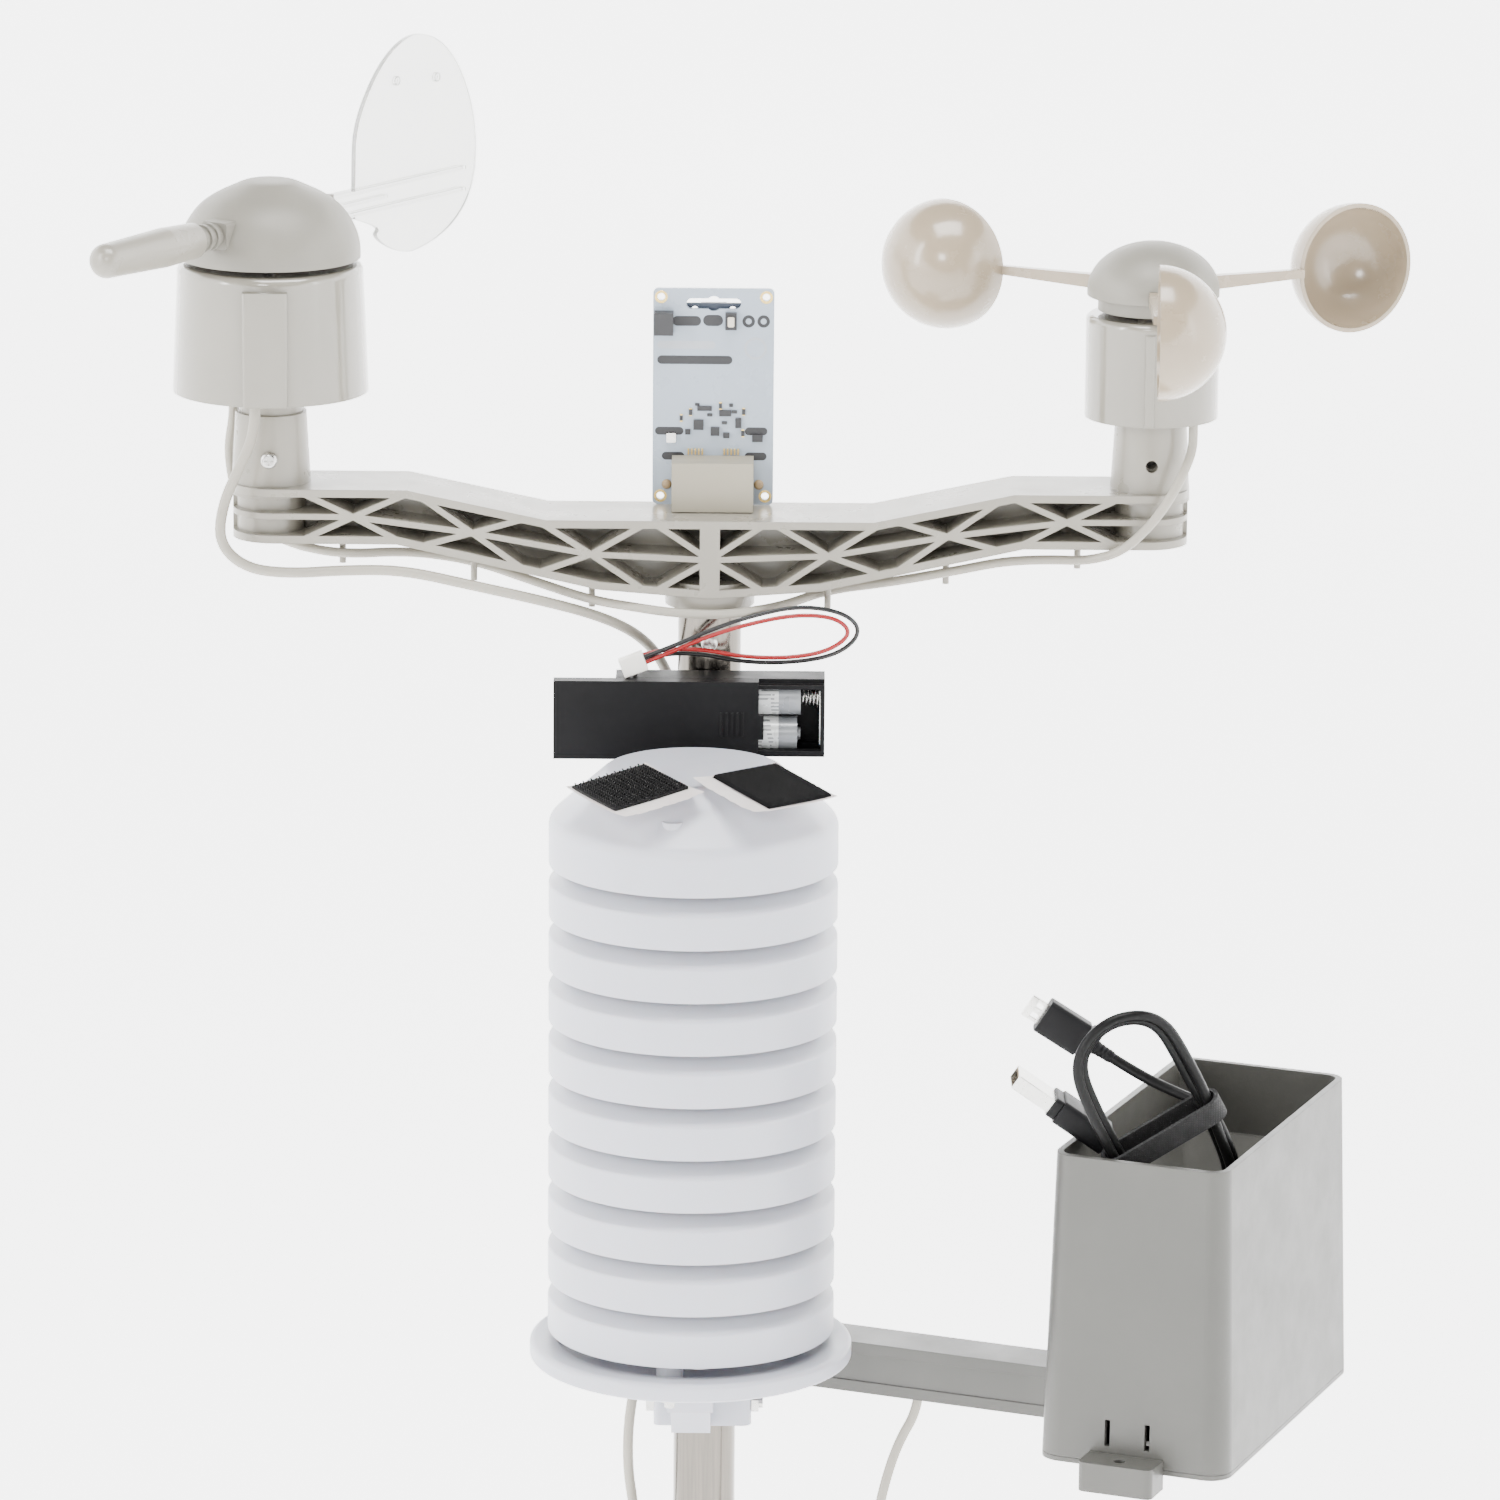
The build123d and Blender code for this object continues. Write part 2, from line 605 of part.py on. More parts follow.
ROD_TOP = BOSS_FOOT + 4.5
LUG_Y = (-74.0, -60.0)
with BuildPart() as screen_base:
    with BuildSketch(screen_plane(BASE_BOTTOM)):
        Circle(BASE_R)
    extrude(amount=BASE_RIM - BASE_BOTTOM)
    fillet(screen_base.edges().group_by(Axis.Z)[-1], 1.6)
    fillet(screen_base.edges().group_by(Axis.Z)[0], 0.8)
    with BuildSketch(screen_plane(BASE_BOTTOM + 2.2)):
        Circle(BASE_R - 8)
    extrude(amount=10, mode=Mode.SUBTRACT)
    with BuildSketch(screen_plane(BASE_BOTTOM)):
        with PolarLocations(ROD_RING, 3, start_angle=-100):
            Circle(4.0)
    extrude(amount=BASE_EDGE + cone_height(ROD_RING + 3) - 3.4 - BASE_BOTTOM)
    with BuildSketch(screen_plane(BASE_BOTTOM - 1)):
        with PolarLocations(ROD_RING, 3, start_angle=-100):
            Circle(ROD_R + 0.1)
    extrude(amount=40, mode=Mode.SUBTRACT)
    # vents in the floor
    with BuildSketch(screen_plane(BASE_BOTTOM - 1)):
        with PolarLocations(20, 6, start_angle=-70):
            SlotOverall(14, 5, rotation=90)
    extrude(amount=6, mode=Mode.SUBTRACT)
    # lug that the bracket is screwed to
    with BuildSketch(Plane(origin=(SCREEN_X, sum(LUG_Y) / 2, BASE_BOTTOM))):
        Rectangle(14, LUG_Y[1] - LUG_Y[0])
    extrude(amount=-14)
save(screen_base, "screen_base")

CLAMP_Z = (136.0, 148.4)
CLAMP_SPLIT = -7.5
with BuildPart() as screen_bracket:
    # web from the base's lug back and down to the clamp block round the mast
    with BuildSketch(Plane.YZ.offset(SCREEN_X)):
        with BuildLine():
            Polyline(
                (LUG_Y[1] + 0.05, BASE_BOTTOM), (-26, BASE_BOTTOM), (-19, 166), (-19, CLAMP_Z[1]),
                (-15, CLAMP_Z[1]), (-15, CLAMP_Z[0]), (-26, CLAMP_Z[0]), (LUG_Y[1] + 0.05, BASE_BOTTOM - 14),
                close=True)
        make_face()
    extrude(amount=6, both=True)
    with BuildSketch(Plane.XY.offset(CLAMP_Z[0])):
        with Locations(((14.5 + CLAMP_SPLIT + 0.5) / 2, -2)):
            RectangleRounded(14.5 - CLAMP_SPLIT - 0.5, 34, 3)
    extrude(amount=CLAMP_Z[1] - CLAMP_Z[0])
    with BuildSketch(Plane.XY.offset(CLAMP_Z[0] - 1)):
        Circle(MAST_R)
        with Locations((-10, 0)):
            Rectangle(20, 2 * MAST_R)
    extrude(amount=CLAMP_Z[1] - CLAMP_Z[0] + 2, mode=Mode.SUBTRACT)
    CLAMP_BOLT_Z = sum(CLAMP_Z) / 2
    with Locations(Plane(origin=(0, -14.6, CLAMP_BOLT_Z), z_dir=(1, 0, 0)),
                   Plane(origin=(0, 12.3, CLAMP_BOLT_Z), z_dir=(1, 0, 0))):
        Cylinder(1.6, 60, mode=Mode.SUBTRACT)
    # cut clear of the jaw
    with BuildSketch(Plane.XY.offset(CLAMP_Z[0] - 1)):
        with Locations((-20 + CLAMP_SPLIT + 0.5, 0)):
            Rectangle(40, 48)
    extrude(amount=CLAMP_Z[1] - CLAMP_Z[0] + 2, mode=Mode.SUBTRACT)
save(screen_bracket, "screen_bracket")

with BuildPart() as screen_clamp_jaw:
    with BuildSketch(Plane.XY.offset(CLAMP_Z[0])):
        with Locations((CLAMP_SPLIT - 4.25, -2)):
            RectangleRounded(7.5, 34, 2)
        Circle(MAST_R, mode=Mode.SUBTRACT)
    extrude(amount=CLAMP_Z[1] - CLAMP_Z[0])
    with Locations(Plane(origin=(0, -14.6, CLAMP_BOLT_Z), z_dir=(1, 0, 0)),
                   Plane(origin=(0, 12.3, CLAMP_BOLT_Z), z_dir=(1, 0, 0))):
        Cylinder(1.6, 60, mode=Mode.SUBTRACT)
save(screen_clamp_jaw, "screen_clamp_jaw")

with BuildPart() as screen_fasteners:
    # three tie rods with nuts, and two clamp bolts
    with BuildSketch(screen_plane(BASE_BOTTOM - 6)):
        with PolarLocations(ROD_RING, 3, start_angle=-100):
            Circle(ROD_R)
    extrude(amount=ROD_TOP - BASE_BOTTOM + 6)
    with BuildSketch(screen_plane(BASE_BOTTOM - 4)):
        with PolarLocations(ROD_RING, 3, start_angle=-100):
            RegularPolygon(3.4, 6)
    extrude(amount=4)
    for y in (-14.6, 12.3):
        with BuildSketch(Plane(origin=(CLAMP_SPLIT - 8, y, CLAMP_BOLT_Z), z_dir=(-1, 0, 0))):
            RegularPolygon(3.0, 6)
        extrude(amount=2.4)
        with BuildSketch(Plane(origin=(CLAMP_SPLIT - 8, y, CLAMP_BOLT_Z), z_dir=(1, 0, 0))):
            Circle(1.6)
        extrude(amount=33.5)
        with BuildSketch(Plane(origin=(14.5, y, CLAMP_BOLT_Z), z_dir=(1, 0, 0))):
            RegularPolygon(3.0, 6)
        extrude(amount=2.2)
save(screen_fasteners, "screen_fasteners")

# ---------------------------------------------------------------- side arm and rain gauge
ARM_DIR = Vector(cos(radians(ARM_YAW)), sin(radians(ARM_YAW)), 0)
ARM_ACROSS = Vector(-ARM_DIR.Y, ARM_DIR.X, 0)
GAUGE_CENTRE = ARM_DIR * GAUGE_REACH
GAUGE = Plane(origin=(GAUGE_CENTRE.X, GAUGE_CENTRE.Y, 0), x_dir=ARM_DIR, z_dir=(0, 0, 1))
ARM_FRAME = Plane(origin=(0, 0, 0), x_dir=ARM_DIR, z_dir=(0, 0, 1))
ARM_TOP = ARM_BOTTOM + ARM_SIZE
SOCKET_IN = GAUGE_REACH - 36.0
ARM_END = GAUGE_REACH - 20.5
RAIN_EXIT = 71.0         # along the arm

with BuildPart() as side_arm:
    with BuildSketch(ARM_FRAME.offset(ARM_BOTTOM)):
        Circle(16)
        with Locations((ARM_END / 2, 0)):
            Rectangle(ARM_END, ARM_SIZE - 0.8)
    extrude(amount=ARM_SIZE)
    # raised flanges along both edges of each side
    for base in (ARM_BOTTOM, ARM_TOP - 3.6):
        with BuildSketch(ARM_FRAME.offset(base)):
            with Locations(((ARM_END + 10) / 2, 0)):
                Rectangle(ARM_END - 10, ARM_SIZE)
        extrude(amount=3.6)
    with BuildSketch(ARM_FRAME.offset(ARM_BOTTOM)):
        Circle(MAST_R)
    extrude(amount=ARM_SIZE, mode=Mode.SUBTRACT)
    with BuildSketch(ARM_FRAME.offset(ARM_BOTTOM + 2)):
        with Locations(((ARM_END + 20) / 2, 0)):
            Rectangle(ARM_END - 20 + 0.01, ARM_SIZE - 4)
    extrude(amount=ARM_SIZE - 4, mode=Mode.SUBTRACT)
    with BuildSketch(ARM_FRAME.offset(ARM_BOTTOM - 1)):
        with Locations((RAIN_EXIT, 0)):
            Circle(RAIN_LEAD / 2 + 0.3)
    extrude(amount=4, mode=Mode.SUBTRACT)
    with Locations(Plane(origin=ARM_DIR * -13 + Vector(0, 0, ARM_BOTTOM + 8), z_dir=ARM_DIR * -1)):
        Cylinder(1.6, 12, mode=Mode.SUBTRACT)
save(side_arm, "side_arm")

WIDE = (GAUGE_OPEN[0] + 2 * GAUGE_WALL, GAUGE_OPEN[1] + 2 * GAUGE_WALL)
with BuildPart() as gauge_cover:
    with BuildSketch(GAUGE.offset(GAUGE_BOTTOM)):
        RectangleRounded(WIDE[0] + GAUGE_FLARE, WIDE[1] + GAUGE_FLARE, 7)
    with BuildSketch(GAUGE.offset(GAUGE_TOP)):
        RectangleRounded(WIDE[0], WIDE[1], 6)
    loft()
    with BuildSketch(GAUGE.offset(GAUGE_BOTTOM)):
        RectangleRounded(GAUGE_OPEN[0] + GAUGE_FLARE, GAUGE_OPEN[1] + GAUGE_FLARE, 5)
    with BuildSketch(GAUGE.offset(GAUGE_TOP)):
        RectangleRounded(*GAUGE_OPEN, 4)
    loft(mode=Mode.SUBTRACT)
    # funnel floor with its spout
    with BuildSketch(GAUGE.offset(FUNNEL_Z - 3)):
        RectangleRounded(GAUGE_OPEN[0] + 2, GAUGE_OPEN[1] + 2, 4)
    extrude(amount=3)
    with BuildSketch(GAUGE.offset(FUNNEL_Z - 3)):
        RectangleRounded(GAUGE_OPEN[0], GAUGE_OPEN[1], 4)
    with BuildSketch(GAUGE.offset(FUNNEL_Z - 22)):
        RectangleRounded(11, 13, 4)
    loft()
    with BuildSketch(GAUGE.offset(FUNNEL_Z)):
        RectangleRounded(GAUGE_OPEN[0] - 2, GAUGE_OPEN[1] - 2, 4)
    with BuildSketch(GAUGE.offset(FUNNEL_Z - 18)):
        RectangleRounded(7, 9, 3)
    loft(mode=Mode.SUBTRACT)
    with BuildSketch(GAUGE.offset(FUNNEL_Z - 23)):
        Circle(2.5)
    extrude(amount=8, mode=Mode.SUBTRACT)
    # notch for the arm socket and the two latch slots
    with BuildSketch(GAUGE.offset(GAUGE_BOTTOM - 1)):
        with Locations((-28, 0)):
            Rectangle(12, 20.6)
    extrude(amount=ARM_TOP + 2.8 - GAUGE_BOTTOM + 1, mode=Mode.SUBTRACT)
    with BuildSketch(GAUGE.offset(GAUGE_BOTTOM + 5)):
        with Locations((-7.2, -58), (5.2, -58)):
            Rectangle(1.6, 8)
    extrude(amount=8, mode=Mode.SUBTRACT)
save(gauge_cover, "gauge_cover")

SOCKET_RIM = (GAUGE_OPEN[0] + GAUGE_FLARE - 1, GAUGE_OPEN[1] + GAUGE_FLARE - 1)
with BuildPart() as gauge_base:
    with BuildSketch(GAUGE.offset(GAUGE_BOTTOM - 1.6)):
        RectangleRounded(WIDE[0] + GAUGE_FLARE, WIDE[1] + GAUGE_FLARE, 7)
    extrude(amount=1.5)
    with BuildSketch(GAUGE.offset(GAUGE_BOTTOM - 0.2)):
        RectangleRounded(SOCKET_RIM[0], SOCKET_RIM[1], 5)
        RectangleRounded(SOCKET_RIM[0] - 4, SOCKET_RIM[1] - 4, 4, mode=Mode.SUBTRACT)
    extrude(amount=5)
    # socket for the arm, with its collar outside the cover
    with BuildSketch(GAUGE.offset(ARM_BOTTOM - 1.9)):
        with Locations((-27, 0)):
            Rectangle(18, 19.8)
    extrude(amount=ARM_SIZE + 4)
    with BuildSketch(GAUGE.offset(ARM_BOTTOM - 0.1)):
        with Locations((-28.2, 0)):
            Rectangle(15.7, ARM_SIZE + 0.2)
    extrude(amount=ARM_SIZE + 0.2, mode=Mode.SUBTRACT)
    # fixing lug at the front
    with BuildSketch(GAUGE.offset(GAUGE_BOTTOM - 6)):
        with Locations((-1, -64)):
            RectangleRounded(23, 13, 2)
    extrude(amount=9)
    with BuildSketch(GAUGE.offset(GAUGE_BOTTOM - 0.1)):
        with Locations((0, -57)):
            Rectangle(70, 5.4)
    extrude(amount=9, mode=Mode.SUBTRACT)
    with BuildSketch(GAUGE.offset(GAUGE_BOTTOM - 7)):
        with Locations((-1, -65.5)):
            Circle(1.7)
    extrude(amount=12, mode=Mode.SUBTRACT)
    # ears that carry the bucket's pin
    for across in (-12.5, 12.5):
        with BuildSketch(GAUGE.offset(GAUGE_BOTTOM - 0.2)):
            with Locations((across, 0)):
                Rectangle(2.4, 12)
        extrude(amount=PIVOT_Z + 4 - GAUGE_BOTTOM)
    # stops under the ends of the bucket
    for along in (-22, 22):
        with BuildSketch(GAUGE.offset(GAUGE_BOTTOM - 0.2)):
            with Locations((0, along)):
                Rectangle(10, 4)
        extrude(amount=11.0)
    with Locations(Plane(origin=GAUGE_CENTRE + Vector(0, 0, PIVOT_Z), z_dir=ARM_DIR)):
        Cylinder(1.0, 30, mode=Mode.SUBTRACT)
    # drain slots
    with BuildSketch(GAUGE.offset(GAUGE_BOTTOM - 3)):
        with Locations((0, 38), (0, -38)):
            SlotOverall(20, 4)
    extrude(amount=6, mode=Mode.SUBTRACT)
save(gauge_base, "gauge_base")

PIVOT = GAUGE_CENTRE + Vector(0, 0, PIVOT_Z)
TILT = radians(BUCKET_TILT)
BUCKET_ALONG = ARM_ACROSS * cos(TILT) + Vector(0, 0, 1) * sin(TILT)
BUCKET_SIDE = Plane(origin=PIVOT, x_dir=BUCKET_ALONG, z_dir=ARM_DIR)
with BuildPart() as tipping_bucket:
    with BuildSketch(BUCKET_SIDE):
        with BuildLine():
            Polyline((-30, 9), (0, 2), (30, 9), (29.5, 12), (0, 19), (-29.5, 12), close=True)
        make_face()
    extrude(amount=9, both=True)
    with BuildSketch(BUCKET_SIDE):
        with BuildLine():
            Polyline((-28, 10.2), (-0.8, 3.7), (-0.8, 18.2), (-0.8, 24), (-31, 24), (-31, 10.9), close=True)
        make_face()
        mirror(about=Plane.YZ)
    extrude(amount=7.6, both=True, mode=Mode.SUBTRACT)
    with BuildSketch(BUCKET_SIDE):
        Circle(3)
        with Locations((0, 2)):
            Rectangle(6, 3)
    extrude(amount=9, both=True)
    with Locations(Plane(origin=PIVOT, z_dir=ARM_DIR)):
        Cylinder(1.04, 30, mode=Mode.SUBTRACT)
save(tipping_bucket, "tipping_bucket")

with BuildPart() as bucket_magnet:
    with BuildSketch(BUCKET_SIDE.offset(9)):
        with Locations((0, 12)):
            Rectangle(4, 5)
    extrude(amount=2)
save(bucket_magnet, "bucket_magnet")

with BuildPart() as bucket_pin:
    with Locations(Plane(origin=PIVOT, z_dir=ARM_DIR)):
        Cylinder(1.0, 28)
save(bucket_pin, "bucket_pin")

with BuildPart() as gauge_board:
    with BuildSketch(GAUGE.offset(GAUGE_BOTTOM - 0.1)):
        with Locations((18, 0)):
            Rectangle(1.6, 28)
    extrude(amount=40)
    with BuildSketch(GAUGE.offset(GAUGE_BOTTOM + 31)):
        with Locations((15.9, 0)):
            Rectangle(2.6, 14)
    extrude(amount=2.4)
save(gauge_board, "gauge_board")

# ---------------------------------------------------------------- screws of one size
def pan_screw(name_point, direction, length):
    """Pan-head self-tapping screw with a cross recess, head resting on the point."""
    seat = Plane(origin=name_point, z_dir=direction)
    with BuildPart() as screw:
        with BuildSketch(seat):
            Circle(2.5)
        extrude(amount=1.6)
        fillet(screw.edges().filter_by(GeomType.CIRCLE).sort_by(
            lambda e: (e.center() - seat.origin).dot(seat.z_dir))[-1], 1.0)
        with BuildSketch(seat):
            Circle(1.45)
        extrude(amount=-length)
        with BuildSketch(seat.offset(0.8)):
            Rectangle(2.6, 0.6)
            Rectangle(0.6, 2.6)
        extrude(amount=1, mode=Mode.SUBTRACT)
    return screw.part


with BuildPart() as fixing_screws:
    add(pan_screw((-POST_X, -11.55, SCREW_Z), (0, -1, 0), 7))
    add(pan_screw((0, -MAST_R - 0.02, MAST_SCREW_Z), (0, -1, 0), 5))
    add(pan_screw(ARM_DIR * -16.05 + Vector(0, 0, ARM_BOTTOM + 8), ARM_DIR * -1, 6.3))
save(fixing_screws, "fixing_screws")

# ---------------------------------------------------------------- sensor board
BOARD = Plane(origin=(BOARD_X, BOARD_FRONT, BOARD_BOTTOM), x_dir=(1, 0, 0), z_dir=(0, -1, 0))
HALF_W = BOARD_SIZE[0] / 2
with BuildPart() as sensor_board:
    with BuildSketch(BOARD):
        with Locations((0, BOARD_SIZE[1] / 2)):
            RectangleRounded(*BOARD_SIZE, 1.6)
        with Locations((0, BOARD_SIZE[1] - 4.6)):
            SlotOverall(16.4, 3.2, mode=Mode.SUBTRACT)
            Circle(2.3, mode=Mode.SUBTRACT)
        for across in (-HALF_W + 2.4, HALF_W - 2.4):
            with Locations((across, 2.6), (across, BOARD_SIZE[1] - 2.6)):
                Circle(1.15, mode=Mode.SUBTRACT)
    extrude(amount=-BOARD_THICK)
save(sensor_board, "sensor_board")

JACK = (12.3, 15.0, 12.0)
with BuildPart() as rj_block:
    with BuildSketch(BOARD.offset(0.01)):
        with Locations((0, JACK[1] / 2 + 0.1)):
            Rectangle(2 * JACK[0], JACK[1])
    extrude(amount=JACK[2])
    for side in (-1, 1):
        with BuildSketch(Plane(origin=(BOARD_X + side * JACK[0] / 2, BOARD_FRONT - 6.2, BOARD_BOTTOM))):
            Rectangle(9.7, 6.8)
        extrude(amount=12, mode=Mode.SUBTRACT)
save(rj_block, "rj_block")

with BuildPart() as board_components:
    # battery socket, button housing, two sensors, a row of small chips
    for x, z, w, h, t in (
            (-15.0, 56.0, 5.8, 6.8, 4.6), (5.2, 56.4, 3.4, 5.2, 1.4), (-12.6, 20.6, 2.6, 2.6, 1.0),
            (13.4, 20.6, 3.2, 2.2, 1.0), (-4.4, 24.6, 3.0, 3.0, 1.0), (0.6, 22.6, 2.6, 2.6, 0.9),
            (3.6, 28.2, 3.6, 1.8, 0.8), (-2.6, 29.6, 4.4, 1.4, 0.7), (7.6, 25.2, 1.8, 3.0, 0.8)):
        with BuildSketch(BOARD.offset(0.01)):
            with Locations((x, z)):
                Rectangle(w, h)
        extrude(amount=t)
save(board_components, "board_components")

with BuildPart() as poke_button:
    with BuildSketch(BOARD.offset(1.75)):
        with Locations((5.2, 56.4)):
            RectangleRounded(2.0, 3.0, 0.5)
    extrude(amount=0.7)
save(poke_button, "poke_button")

MODULE = Plane(origin=(BOARD_X, BOARD_FRONT + BOARD_THICK + 0.01, 455), x_dir=(-1, 0, 0), z_dir=(0, 1, 0))
with BuildPart() as controller_module:
    with BuildSketch(MODULE):
        Rectangle(21, 51)
        for across in (-5.7, 5.7):
            with Locations((across, 23.5), (across, -23.5)):
                Circle(1.05, mode=Mode.SUBTRACT)
    extrude(amount=1.0)
    with BuildSketch(MODULE.offset(1)):
        with Locations((0, 22.4)):
            Rectangle(7.8, 5.6)
    extrude(amount=2.6)
    with BuildSketch(MODULE.offset(1)):
        with Locations((0, -12)):
            RectangleRounded(11.5, 9.5, 0.8)
        with Locations((0, 3)):
            Rectangle(7, 7)
        with Locations((5.2, 12.4)):
            Rectangle(3.6, 4.4)
    extrude(amount=1.3)
save(controller_module, "controller_module")

with BuildPart() as boot_button:
    with BuildSketch(MODULE.offset(2.62)):
        with Locations((5.2, 12.4)):
            Circle(1.0)
    extrude(amount=0.6)
save(boot_button, "boot_button")

# ---------------------------------------------------------------- battery box
BOX_LENGTH = BOX_X[1] - BOX_X[0]
BOX_MID = sum(BOX_X) / 2
CELL_Y = -17.4
CELL_ENDS = (27.6 - CELL_LENGTH, 27.6)
CELL_HEIGHTS = (BOX_BOTTOM + 6.45, BOX_BOTTOM + 17.55)
LEAD_X = -23.6           # where the battery lead comes out of the top
LEAD_Y = -17.4
STEP_DEPTH = 3.2         # the cover's edges lap this far over the body


def facing_front(x, y, z):
    """Upright plane whose normal points to the front."""
    return Plane(origin=(x, y, z), x_dir=(1, 0, 0), z_dir=(0, -1, 0))


def facing_back(x, y, z):
    return Plane(origin=(x, y, z), x_dir=(1, 0, 0), z_dir=(0, 1, 0))


BOX_CENTRE_Z = BOX_BOTTOM + BOX_HEIGHT / 2
BAY_LEFT = CELL_ENDS[0] - 2
BAY_RIGHT = BOX_X[1] - BOX_WALL
SWITCH_LEFT = BOX_X[0] + BOX_WALL
SWITCH_RIGHT = CELL_ENDS[0] - 3.2
with BuildPart() as battery_box:
    with BuildSketch(facing_front(BOX_MID, BOX_BACK, BOX_CENTRE_Z)):
        Rectangle(BOX_LENGTH, BOX_HEIGHT)
    extrude(amount=BOX_BACK - BOX_FRONT - STEP_DEPTH)
    with BuildSketch(facing_front(BOX_MID, BOX_BACK, BOX_CENTRE_Z)):
        Rectangle(BOX_LENGTH, BOX_HEIGHT - 2.6)
    extrude(amount=BOX_BACK - BOX_FRONT)
    fillet(battery_box.edges().filter_by(Axis.X).group_by(Axis.Y)[-1], 1.2)
    # cell bay and switch bay, open to the front
    with BuildSketch(facing_back(0, BOX_FRONT - 1, BOX_CENTRE_Z)):
        with Locations(((BAY_LEFT + BAY_RIGHT) / 2, 0)):
            Rectangle(BAY_RIGHT - BAY_LEFT, BOX_HEIGHT - 5.0)
        with Locations(((SWITCH_LEFT + SWITCH_RIGHT) / 2, 0)):
            Rectangle(SWITCH_RIGHT - SWITCH_LEFT, BOX_HEIGHT - 5.0)
    extrude(amount=BOX_BACK - BOX_FRONT + 1 - BOX_WALL, mode=Mode.SUBTRACT)
    for height in CELL_HEIGHTS:
        with BuildSketch(Plane(origin=(BAY_LEFT, CELL_Y, height), z_dir=(1, 0, 0))):
            Circle(CELL_R + 0.1)
        extrude(amount=BAY_RIGHT - BAY_LEFT, mode=Mode.SUBTRACT)
    # outlet for the lead
    with Locations((LEAD_X, LEAD_Y, BOX_BOTTOM + BOX_HEIGHT)):
        Box(4.2, 2.0, 6, mode=Mode.SUBTRACT)
save(battery_box, "battery_box")

COVER_X = (BOX_X[0] - COVER_OPEN, BOX_X[1] - COVER_OPEN - 1.2)
COVER_MID = sum(COVER_X) / 2
COVER_BACK = BOX_FRONT - 0.05
COVER_THICK = 1.5
with BuildPart() as battery_cover:
    with BuildSketch(facing_front(COVER_MID, COVER_BACK, BOX_CENTRE_Z)):
        Rectangle(COVER_X[1] - COVER_X[0], BOX_HEIGHT)
    extrude(amount=COVER_THICK)
    for height in (BOX_BOTTOM + 0.6, BOX_BOTTOM + BOX_HEIGHT - 0.6):
        with BuildSketch(facing_back(COVER_MID, COVER_BACK, height)):
            Rectangle(COVER_X[1] - COVER_X[0], 1.2)
        extrude(amount=STEP_DEPTH - 0.1)
    with BuildSketch(facing_front(COVER_X[1] + 0.7, COVER_BACK, BOX_BOTTOM + 10)):
        Rectangle(1.6, 7.4)
    extrude(amount=COVER_THICK)
    with BuildSketch(facing_front(COVER_X[1] - 8, COVER_BACK - COVER_THICK, BOX_BOTTOM + 11)):
        with GridLocations(1.6, 0, 5, 1):
            Rectangle(0.7, 7.2)
    extrude(amount=0.35)
save(battery_cover, "battery_cover")

with BuildPart() as battery_cells:
    for height, tip_side in zip(CELL_HEIGHTS, (1, -1)):
        tip_x = CELL_ENDS[1] if tip_side > 0 else CELL_ENDS[0]
        can_start = CELL_ENDS[0] + (1 if tip_side < 0 else 0)
        with BuildSketch(Plane(origin=(can_start, CELL_Y, height), z_dir=(1, 0, 0))):
            Circle(CELL_R)
        extrude(amount=CELL_LENGTH - 1)
        with BuildSketch(Plane(origin=(tip_x, CELL_Y, height), z_dir=(-tip_side, 0, 0))):
            Circle(1.9)
        extrude(amount=1.5)
save(battery_cells, "battery_cells")

with BuildPart() as battery_contacts:
    # plates at both ends; the spring is a stack of rings on a core
    for x in (CELL_ENDS[0] - 1.9, BAY_RIGHT - 0.5):
        with BuildSketch(Plane(origin=(x, CELL_Y, BOX_CENTRE_Z), z_dir=(1, 0, 0))):
            RectangleRounded(18, 8, 1)
        extrude(amount=0.4)
    for x, height, direction, reach in (
            (BAY_RIGHT - 0.5, CELL_HEIGHTS[1], -1, 5.5),
            (CELL_ENDS[0] - 1.5, CELL_HEIGHTS[0], 1, 1.4)):
        with BuildSketch(Plane(origin=(x, CELL_Y, height), z_dir=(direction, 0, 0))):
            Circle(2.6)
        extrude(amount=reach)
save(battery_contacts, "battery_contacts")

# ---------------------------------------------------------------- hook and loop pads on the cap
PAD_SIDE = 25.4
PAD_THICK = 1.5
LINER = (33.0, 27.5, 0.4)
LINER_SHIFT = 2.8        # the paper stands out further on one side of the pad


def pad_plane(azimuth, tilt, downhill, turn):
    """Plane resting on the cap's crown edge, tilted down outwards and turned about its normal."""
    out = Vector(cos(radians(azimuth)), sin(radians(azimuth)), 0)
    fall = out * cos(radians(tilt)) - Vector(0, 0, 1) * sin(radians(tilt))
    normal = out * sin(radians(tilt)) + Vector(0, 0, 1) * cos(radians(tilt))
    edge = Vector(SCREEN_X, SCREEN_Y, CAP_TOP) + out * CAP_FLAT_R
    along = fall * cos(radians(turn)) + normal.cross(fall) * sin(radians(turn))
    return Plane(origin=edge + fall * downhill + normal * 0.1, x_dir=along, z_dir=normal)


def pad(plane):
    """Adhesive pad, on its wider backing paper."""
    with BuildPart() as stack:
        with BuildSketch(plane):
            with Locations((LINER_SHIFT, 0)):
                Rectangle(LINER[0], LINER[1])
        extrude(amount=LINER[2])
        with BuildSketch(plane.offset(LINER[2])):
            Rectangle(PAD_SIDE, PAD_SIDE)
        extrude(amount=PAD_THICK)
    return stack


hook_pad = pad(pad_plane(-127, 9, 4.8, 68.8))
save(hook_pad, "hook_pad")
loop_pad = pad(pad_plane(-42, 11, 5.1, -95.7))
save(loop_pad, "loop_pad")

